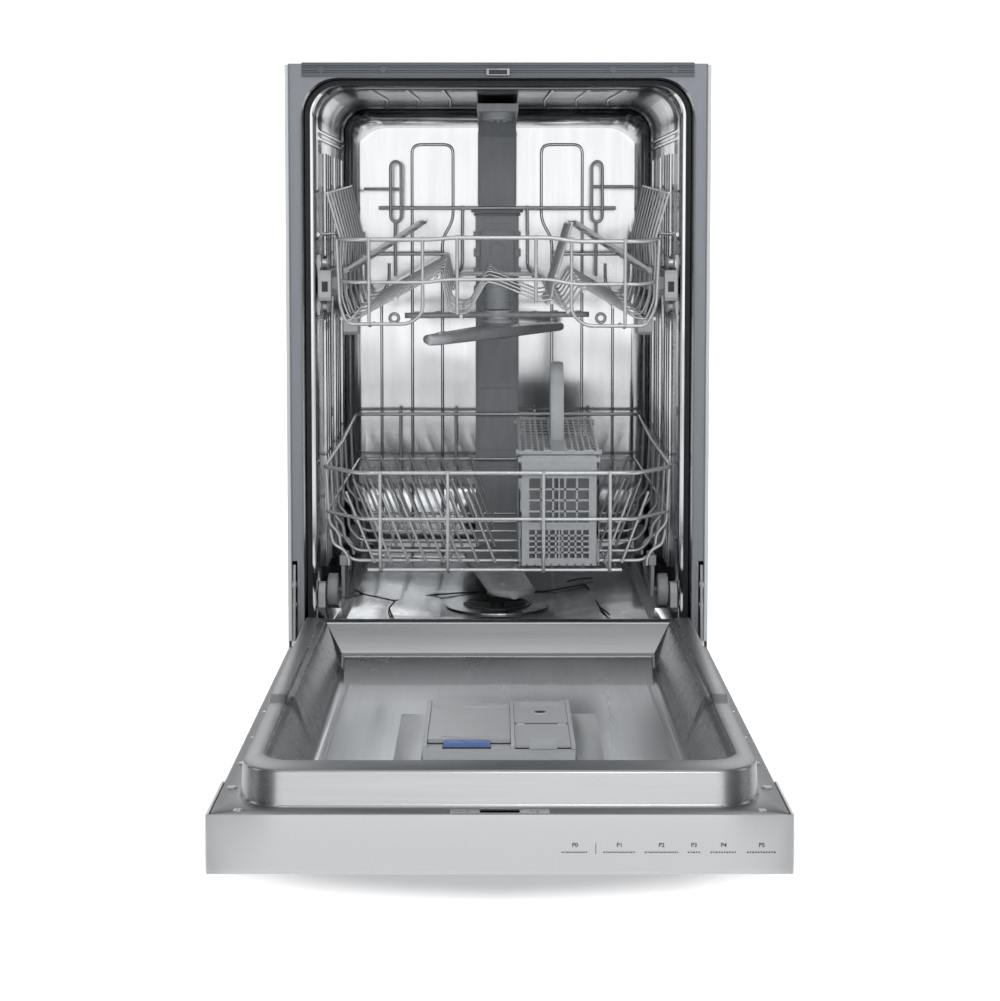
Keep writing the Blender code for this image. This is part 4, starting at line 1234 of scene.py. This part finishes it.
def liner_loop(half, front, rear, radius, height, rail, rear_height):
    """One contour of the liner, from its rear left round the front to its rear right."""
    left = [(-half, rear, rear_height), (-half, rear - 10, rail), (-half, -368, rail),
            (-half, -372, rail - 0.4), (-half, -382, height + 0.4), (-half, -386, height)]
    left += [(-half + radius * a, front + radius * b, height) for a, b in quarter(16)]
    return mirrored(left)


def build_liner():
    """The door's inner pressing, with the step round the dispenser, beads, screws and the latch's plate."""
    flange = FLANGE_Z
    ledge = 236.0
    spec = [
        # half width, front, rear, corner radius, height at the front, at the side rails, at the rear
        (220.5, -617.7, -14, 3, flange, flange, flange),
        (205.4, -602.8, -14.6, 39, flange, flange, flange),
        (204.0, -601.2, -15, 38.2, flange + 0.5, flange + 0.5, flange + 0.5),
        (203.3, -600.4, -15.2, 37.6, flange + 2.4, flange + 2.4, flange + 2.4),
        (202.0, -599.0, -16.8, 36, RIM_TOP - 2.2, RAIL_TOP - 2.2, REAR_TOP - 1.6),
        (201.4, -598.3, -17.4, 35.4, RIM_TOP - 0.6, RAIL_TOP - 0.6, REAR_TOP - 0.4),
        (199.8, -596.6, -18.2, 34.4, RIM_TOP, RAIL_TOP, REAR_TOP),
        (188.6, -569.6, -20.2, 25, RIM_TOP, RAIL_TOP, REAR_TOP),
        (186.9, -567.4, -21.2, 24.2, RIM_TOP - 0.5, RAIL_TOP - 0.5, REAR_TOP - 0.3),
        (185.8, -566.0, -22, 24, RIM_TOP - 2, ledge, REAR_TOP - 0.8),
        (181.4, -564.4, -23.6, 22.4, RIM_TOP - 2.8, ledge, REAR_TOP - 1.6),
        (180.0, -563.6, -25, 22, RIM_TOP - 4.4, ledge - 1.4, REAR_TOP - 4),
        (163.6, -547.6, -40.4, 17, BASIN + 5.0, BASIN + 5.0, BASIN_REAR + 3.2),
        (161.4, -545.4, -43, 16.2, BASIN + 1.2, BASIN + 1.2, BASIN_REAR + 0.4),
        (159.6, -543.6, -52, 15.4, BASIN + 0.3, BASIN + 0.3, BASIN_REAR - 1.6),
        (156.6, -540.6, -112, 14, BASIN, BASIN, BASIN),
    ]
    bm = loft([liner_loop(*values) for values in spec], cap_last=True, wrap=True)
    bm.normal_update()
    # The faces' materials: 0 outer walls, 1 basin floor, 2 rear wall, 3 flange and rim tops, 4 side walls.
    # The rear wall and the flange and rim tops take darker copies of the same steel: painted shade.
    inner_half = 186 * MM
    inner_z = place(0, 0, flange - 0.6).z
    rear_y = place(0, -48, 0).y
    for face in bm.faces:
        centre = face.calc_center_median()
        facing = face.normal
        level = abs(facing.z) > 0.8
        if centre.z < inner_z and abs(centre.x) < inner_half:
            wall = 2 if centre.y > rear_y and abs(facing.y) > abs(facing.x) else 4
            face.material_index = 1 if level else wall
        elif level:
            face.material_index = 3
    liner = mesh_piece("liner_pressing", bm, LINER_STEEL, "door", ["door_inner_liner"],
                       sharp=50)
    for material in (BASIN_STEEL, REAR_SHADE_STEEL, RIM_SHADE_STEEL, WALL_STEEL):
        liner.data.materials.append(material)
    thick(liner, 1.0, -1)
    hole = bmesh.new()
    add_box(hole, (-15, 15), (-616.4, -606), (190, 230))
    carve(liner, hole)

    # A raised step round the dispenser, and one long bead along each side of the basin.
    inside = oblong(-66.4, -414.5, 66.4, -251.6)
    step = oblong(-79, -427, 79, -246)
    foot = oblong(-92, -441, 92, -236)
    rows = []
    for loop, rise in ((foot, 0.1), (step, 2.4), (inside, 2.4), (inside, 0.2)):
        rows.append([(x, y, BASIN + rise) for x, y in loop])
    bm = loft(rows, wrap=True)
    mesh_piece("dispenser_step", bm, BASIN_STEEL, "door", sharp=20, bevel=1.2)
    beads = [[(x, -525, BASIN), (x, -90, BASIN)] for x in (-152, 152)]
    wires("basin_beads", beads, 1.3, BASIN_STEEL, "door", bend=60)

    # Flange screws and the pressed plate round the latch's slot.
    bm = bmesh.new()
    screw = [(0, -0.4), (4.6, -0.4), (3.8, 0.8), (1.8, 1.2), (0, 0.5)]
    rivet = [(0, 0), (3.6, 0), (3.0, 0.9), (0, 0.6)]
    spots = [(200, -609), (213, -546), (213, -475), (213, -392), (213, -300), (213, -200), (213, -100)]
    for side in SIDES.values():
        for x, y in spots:
            add_turned(bm, screw, (side * x, y, flange), steps=20)
        add_turned(bm, rivet, (side * 27, -610.5, flange), steps=18)
    mesh_piece("flange_screws", bm, ZINC, "door", sharp=30)
    bm = bmesh.new()
    for x in ((-38, -15.4), (15.4, 38)):
        add_box(bm, x, (-616.6, -605.4), (flange, flange + 0.5))
    for y in ((-616.9, -616.4), (-606, -604.6)):
        add_box(bm, (-38, 38), y, (flange, flange + 0.5))
    mesh_piece("latch_plate", bm, LINER_STEEL, "door", bevel=0.2)
    bm = bmesh.new()
    add_prism(bm, [(-8, -613.6), (8, -613.6), (6, -609.4), (-6, -609.4)], "Z", (186.2, 188.2))
    mesh_piece("latch_hook", bm, ZINC, "door", bevel=0.6)


# The place of each programme's number, and the half width of its mark.
LEGEND = [(57.2, 10.2), (91.1, 12.4), (123.0, 12.8), (147.7, 4.8), (170.3, 10.2), (199.3, 11.4)]


def build_fascia():
    """The fascia is an open tray with soft edges; its finger pocket opens underneath."""
    bottom = FASCIA_LOW.z
    top = FLANGE_Z
    end = FASCIA_LOW.y + 0.1
    back = FASCIA_HIGH.y
    half = FASCIA_HIGH.x
    bend = 7.0
    section = [(back, bottom), (end + bend, bottom)]
    section += [(end + bend * b, bottom + bend * a) for a, b in quarter(8)[1:]]
    section += [(end, top - 1.2), (end + 0.35, top - 0.35), (end + 1.2, top)]
    stations = (-half + 1.0, -half + 60, -70, 0, 70, half - 60, half - 1.0)
    rows = [[(x, y, z) for x in stations] for y, z in section]
    skin = mesh_piece("fascia_skin", loft(rows), SILVER, "door", ["control_panel"], sharp=40)
    thick(skin, 2.0, -1)
    cutter = bmesh.new()
    add_box(cutter, (-64, 64), (-602, -564), (140, 175.9))
    carve(skin, cutter)
    bm = bmesh.new()
    cheek = [(max(y, end + 0.5), z) for y, z in section] + [(back, top)]
    for side in SIDES.values():
        add_prism(bm, cheek, "X", (side * half, side * (half - 2.4)))
    mesh_piece("fascia_ends", bm, SILVER, "door", bevel=0.8)
    bm = bmesh.new()
    pocket_top = 178
    for x in ((-66, -64), (64, 66)):
        add_box(bm, x, (-604, -562), (bottom + 0.6, pocket_top))
    for y in ((-604, -602), (-564, -562)):
        add_box(bm, (-66, 66), y, (bottom + 0.6, pocket_top))
    add_box(bm, (-66, 66), (-604, -562), (pocket_top - 2, pocket_top))
    mesh_piece("grip_pocket", bm, SILVER, "door", bevel=0.3)
    build_legend(end - 0.04)


def build_legend(face):
    """P0 to P5 in ink, each over a mark of short strokes, on the fascia's face."""
    bm = bmesh.new()
    depth = (face - 0.02, face + 0.1)
    foot = 174.9
    for i, (x, half_mark) in enumerate(LEGEND):
        curve = bpy.data.curves.new(f"legend_p{i}", "FONT")
        curve.body = f"P{i}"
        curve.size = 4.6 * MM
        curve.extrude = 0.03 * MM
        curve.offset = 0.1 * MM
        curve.align_x = "CENTER"
        curve.align_y = "CENTER"
        curve.materials.append(INK)
        text = make_object(f"legend_p{i}", curve)
        text.location = place(x, face, 180.9)
        text.rotation_euler = (math.pi / 2, 0, 0)
        settle(text, "door")
        left = x - half_mark
        strokes = itertools.cycle(((1.5, 1.0), (0.7, 1.5), (1.9, 1.0), (1.1, 1.2)))
        while left < x + half_mark - 0.6:
            width, tall = next(strokes)
            add_box(bm, (left, min(left + width, x + half_mark)), depth, (foot, foot + tall))
            left += width + 0.75
    add_box(bm, (72.8, 73.3), depth, (174.0, 182.6))
    mesh_piece("legend_marks", bm, INK, "door")


def build_dispenser():
    """The dispenser's frame bars, ribs, lens, hinge knuckles and raised marks."""
    deck = DISPENSER_HIGH.z
    lid = FLANGE_Z
    body_top = 200.3
    bar = [(-414, body_top - 2), (-256, body_top - 2), (-254, body_top + 4), (-262, deck + 1.6),
           (-408, deck + 1.6), (-413.4, body_top + 3)]
    bm = bmesh.new()
    for x in ((-66, -62.4), (10.3, 13.7)):
        add_prism(bm, bar, "X", x)
    add_box(bm, (62.3, 66), (-414, -252), (body_top - 1, deck))
    for x in range(-56, 8, 8):
        add_box(bm, (x, x + 1), (-266.6, -255), (body_top - 0.4, body_top + 0.2))
    mesh_piece("dispenser_frame_bars", bm, DISPENSER, "door", bevel=0.6)

    seams = [[*[(x, y, BASIN + 2.7) for x, y in oblong(-66.4, -414.8, 66.4, -251.4)], True]]
    level = body_top + 0.5
    raised = level + 2.4
    for x0, y0, x1, y1, z in ((-61.9, -397.4, 10.1, -397.4, level), (-62.2, -397.4, -62.2, -268, level),
                              (10.2, -397.4, 10.2, -268, level), (13.8, -413.4, 13.8, -256, level),
                              (13.8, -413.4, 62.2, -413.4, level), (62.2, -413.4, 62.2, -256, level),
                              (14.2, -338.6, 61.8, -338.6, raised), (-49, -412.2, -7, -412.2, level)):
        seams.append([(x0, y0, z), (x1, y1, z)])
    wires("dispenser_seal", seams, 0.6, RUBBER, "door", bend=0)

    bm = bmesh.new()
    grip = [(-60, -269), (8, -269), (8, -276), (2, -282), (-54, -282), (-60, -276)]
    add_prism(bm, grip, "Z", (lid - 0.2, lid + 0.6))
    for x in (-40, -26, -12):
        add_box(bm, (x - 4, x + 4), (-306.5, -305.5), (lid, lid + 0.35))
    add_prism(bm, [(-32, -330), (-20, -330), (-26, -322)], "Z", (lid, lid + 0.35))
    add_box(bm, (-59, 7), (-395.6, -394.2), (lid - 0.2, lid + 0.5))
    mesh_piece("lid_relief", bm, DISPENSER, "dispenser_lid", bevel=0.15)

    bm = bmesh.new()
    button = [(-46, -410), (-10, -410), (-10, -401), (-20, -401), (-28, -399.9), (-36, -401), (-46, -401)]
    add_prism(bm, button, "Z", (203.6, 204.9))
    add_turned(bm, [(0, 204.6), (4.2, 204.6), (3.6, 205.6), (0, 205.9)], (-28, -405.2, 0), steps=24)
    mesh_piece("latch_button_cap", bm, BLUE, "dispenser_button", bevel=0.25)

    bm = bmesh.new()
    flap_top = 203.5
    edge = (flap_top - 0.2, flap_top + 0.5)
    for x in (22, 53):
        add_box(bm, (x, x + 1.2), (-410, -392), edge)
    add_box(bm, (22, 54.2), (-392, -391), edge)
    for y in (-408, -405, -402, -399):
        add_box(bm, (28, 48), (y, y + 1), (flap_top - 0.2, flap_top + 0.4))
    for x in (16, 53):
        add_rod(bm, (x, -340.6, 203.2), (x + 7, -340.6, 203.2), 1.1, 14)
    mesh_piece("flap_relief", bm, DISPENSER, "rinse_flap", bevel=0.15)

    lens = (38, -300, lid)
    bm = bmesh.new()
    add_turned(bm, [(0, -0.3), (5.2, -0.3), (5.2, 0.2), (4.2, 0.5), (0, 0.6)], lens, steps=28)
    mesh_piece("rinse_level_lens", bm, BLACK, "door")
    bm = bmesh.new()
    add_turned(bm, [(5.4, -0.3), (7.6, -0.3), (7.2, 0.7), (5.6, 0.7)], lens, steps=28)
    for y in (-276, -271, -266):
        add_box(bm, (20, 56), (y, y + 1), (lid - 0.2, lid + 0.4))
    mesh_piece("rinse_panel_relief", bm, DISPENSER, "door")


# ---------------------------------------------------------------- base


def build_base_details():
    """Cooling ribs of the motors and the valve, the kick plate's folds and the blanket's creases."""
    bm = bmesh.new()
    low, high = box_mm("circulation_pump")
    for i in range(5):
        x = low.x + (high.x - low.x) * (0.3 + 0.09 * i)
        add_collar(bm, (34, 44.5), (x, x + 1.6), (0, 395, 92), "X", 36)
    mesh_piece("pump_ribs", bm, ZINC, "cabinet", bevel=0.2)
    bm = bmesh.new()
    low, high = box_mm("drain_pump")
    for i in range(6):
        x = low.x + 6 + i * 5
        add_collar(bm, (20, 25.2), (x, x + 1.6), (0, 240, 80), "X", 32)
    mesh_piece("drain_ribs", bm, BLACK, "cabinet", bevel=0.2)
    bm = bmesh.new()
    low, high = box_mm("inlet_valve")
    for i in range(4):
        x = low.x + 6 + i * 8
        add_box(bm, (x, x + 2), (low.y - 0.8, high.y + 0.8), (low.z + 4, high.z - 4))
    mesh_piece("valve_ribs", bm, WHITE, "cabinet", bevel=0.3)
    bm = bmesh.new()
    low, high = box_mm("kick_plate")
    for z in (low.z + 3, high.z - 6):
        add_box(bm, (low.x + 3, high.x - 3), (low.y - 0.3, low.y + 0.6), (z, z + 2))
    for x in (-196, 196):
        for z in (low.z + 14, high.z - 16):
            add_turned(bm, [(0, -0.8), (4.2, -0.8), (3.4, 0.6), (0, 0.6)], (x, low.y, z), "Y", 18)
    mesh_piece("kick_plate_folds", bm, SILVER, "cabinet", bevel=0.2)
    bm = bmesh.new()
    low, high = box_mm("insulation_blanket")
    crease = (high.z - 0.3, high.z + 0.3)
    for x in (-150, -50, 50, 150):
        add_box(bm, (x - 0.8, x + 0.8), (low.y + 20, high.y - 20), crease)
    for y in (120, 260, 400):
        add_box(bm, (-190, 190), (y, y + 1.6), crease)
    mesh_piece("blanket_creases", bm, FELT, "cabinet")


# ---------------------------------------------------------------- stage


def seen_only(tree, socket, seen, lit):
    """One strength where the camera looks straight at a backdrop, and a lower one for the light it gives."""
    path = node(tree, "ShaderNodeLightPath")
    strengths = {"To Min": lit, "To Max": seen}
    choose = node(tree, "ShaderNodeMapRange", Value=path.outputs["Is Camera Ray"], **strengths)
    tree.links.new(choose.outputs["Result"], socket)
    return choose


def smooth_range(tree, value, start, end, low, high):
    """The output of a soft ramp from low, where the value is start, to high, where it is end."""
    limits = {"From Min": start, "From Max": end, "To Min": low, "To Max": high}
    ramp = node(tree, "ShaderNodeMapRange", interpolation_type="SMOOTHSTEP", **limits, Value=value)
    return ramp.outputs["Result"]


def build_stage():
    """A pale sweep, in metres: a level floor that curves up into a far wall."""
    profile = [(-9.0, 0.0), (2.4, 0.0)]
    profile += [(4.0 - 1.6 * b, 1.6 * a) for a, b in quarter(12)[1:]]
    profile.append((4.0, 9.0))
    bm = bmesh.new()
    grid = [[bm.verts.new((x, y, z)) for x in (-9.0, 9.0)] for y, z in profile]
    for first, second in zip(grid, grid[1:]):
        bm.faces.new((first[0], first[1], second[1], second[0]))
    mesh = bpy.data.meshes.new("studio_sweep")
    bm.to_mesh(mesh)
    bm.free()
    mesh.shade_smooth()
    material = surface("sweep_paper", (0.86, 0.86, 0.86), 0.8, tone=0.01, wear=0.02, size=4, bump=0.02,
                       fine=200)
    tree = material.node_tree
    shader = tree.nodes["Principled BSDF"]
    shader.inputs["Emission Color"].default_value = (1, 1, 1, 1)
    glow = seen_only(tree, shader.inputs["Emission Strength"], 1.0, 0.42)
    # The paper's own light fades in a rounded oblong under and in front of the machine: a painted shadow,
    # which also lets the lamps' real contact shadow show.
    where = tree.nodes["Texture Coordinate"].outputs["Object"]
    apart = node(tree, "ShaderNodeSeparateXYZ", Vector=where)
    aside = maths(tree, "ABSOLUTE", apart.outputs["X"])
    beside = maths(tree, "MULTIPLY_ADD", aside, 0.9, 0.735)
    ahead = maths(tree, "MULTIPLY_ADD", apart.outputs["Y"], -2.326, 0.64)
    behind = maths(tree, "MULTIPLY_ADD", apart.outputs["Y"], 0.5, 0.675)
    along = maths(tree, "MAXIMUM", ahead, behind)
    powers = [maths(tree, "POWER", reach, 6.0) for reach in (along, beside)]
    painted_shadow_reach = maths(tree, "POWER", maths(tree, "ADD", *powers), 1 / 6)
    # Inside the oblong the glow falls to 0.16: the painted shadow.
    tree.links.new(smooth_range(tree, painted_shadow_reach, 0.96, 1.14, 0.16, 1.0), glow.inputs["To Max"])
    mesh.materials.append(material)
    sweep = make_object("studio_sweep", mesh)


def add_light(name, spot, aim, size, power):
    data = bpy.data.lights.new(name, "AREA")
    data.shape = "RECTANGLE"
    data.size, data.size_y = size
    data.energy = power
    light = make_object(name, data)
    light.location = spot
    light.rotation_euler = (Vector(aim) - Vector(spot)).to_track_quat("-Z", "Y").to_euler()


def build_lights():
    """Soft panels on all sides, in metres and watts, in a pale room that is dimmer at its two sides."""
    world = bpy.data.worlds.new("studio")
    bpy.context.scene.world = world
    world.use_nodes = True
    tree = world.node_tree
    back = tree.nodes["Background"]
    back.inputs["Color"].default_value = (1, 1, 1, 1)
    glow = seen_only(tree, back.inputs["Strength"], 1.0, 0.28)
    # The dim sides darken the steel's turned edges.
    apart = node(tree, "ShaderNodeSeparateXYZ")
    tree.links.new(node(tree, "ShaderNodeTexCoord").outputs["Generated"], apart.inputs[0])
    aside = maths(tree, "ABSOLUTE", apart.outputs["X"])
    tree.links.new(smooth_range(tree, aside, 0.35, 0.85, 0.32, 0.07), glow.inputs["To Min"])
    bpy.context.scene.view_settings.view_transform = "Standard"
    add_light("front_soft", (0.0, -3.8, 1.45), (0, 0, 0.6), (3.8, 2.6), 34)
    add_light("top_soft", (0.0, -0.9, 3.0), (0, -0.2, 0.3), (2.0, 1.6), 14)
    add_light("left_soft", (-2.8, -0.6, 1.4), (0, 0, 0.4), (1.0, 1.8), 6)
    add_light("right_soft", (2.8, -0.6, 1.4), (0, 0, 0.4), (1.0, 1.8), 6)
    add_light("key", (0.35, -2.9, 1.7), (0, 0.2, 0.45), (0.8, 0.8), 9)
    add_light("rear_soft", (0.0, 3.2, 1.8), (0, 0, 0.5), (2.0, 1.2), 14)


def build_camera():
    data = bpy.data.cameras.new("camera")
    data.sensor_width = 36.0
    data.lens = 72.288
    data.shift_x = 0.0066
    data.shift_y = -0.1384
    data.dof.use_dof = False
    camera = make_object("camera", data)
    camera.location = place(-4.85, -2118.93, 654.08)
    pitch = 4.0
    camera.rotation_euler = (math.radians(90 - pitch), 0, 0)
    bpy.context.scene.camera = camera


dress_frame()
build_tub()
build_floor()
build_gasket()
build_case_details()
build_rear_panel()
build_hinges()
build_feet()
build_duct()
build_rollers()
build_lower_basket()
build_wheels()
build_cutlery_basket()
build_cutlery_lid()
build_upper_basket()
build_upper_fittings()
build_shelves()
build_arms()
build_filter()
build_liner()
build_fascia()
build_dispenser()
build_base_details()
build_stage()
build_lights()
build_camera()
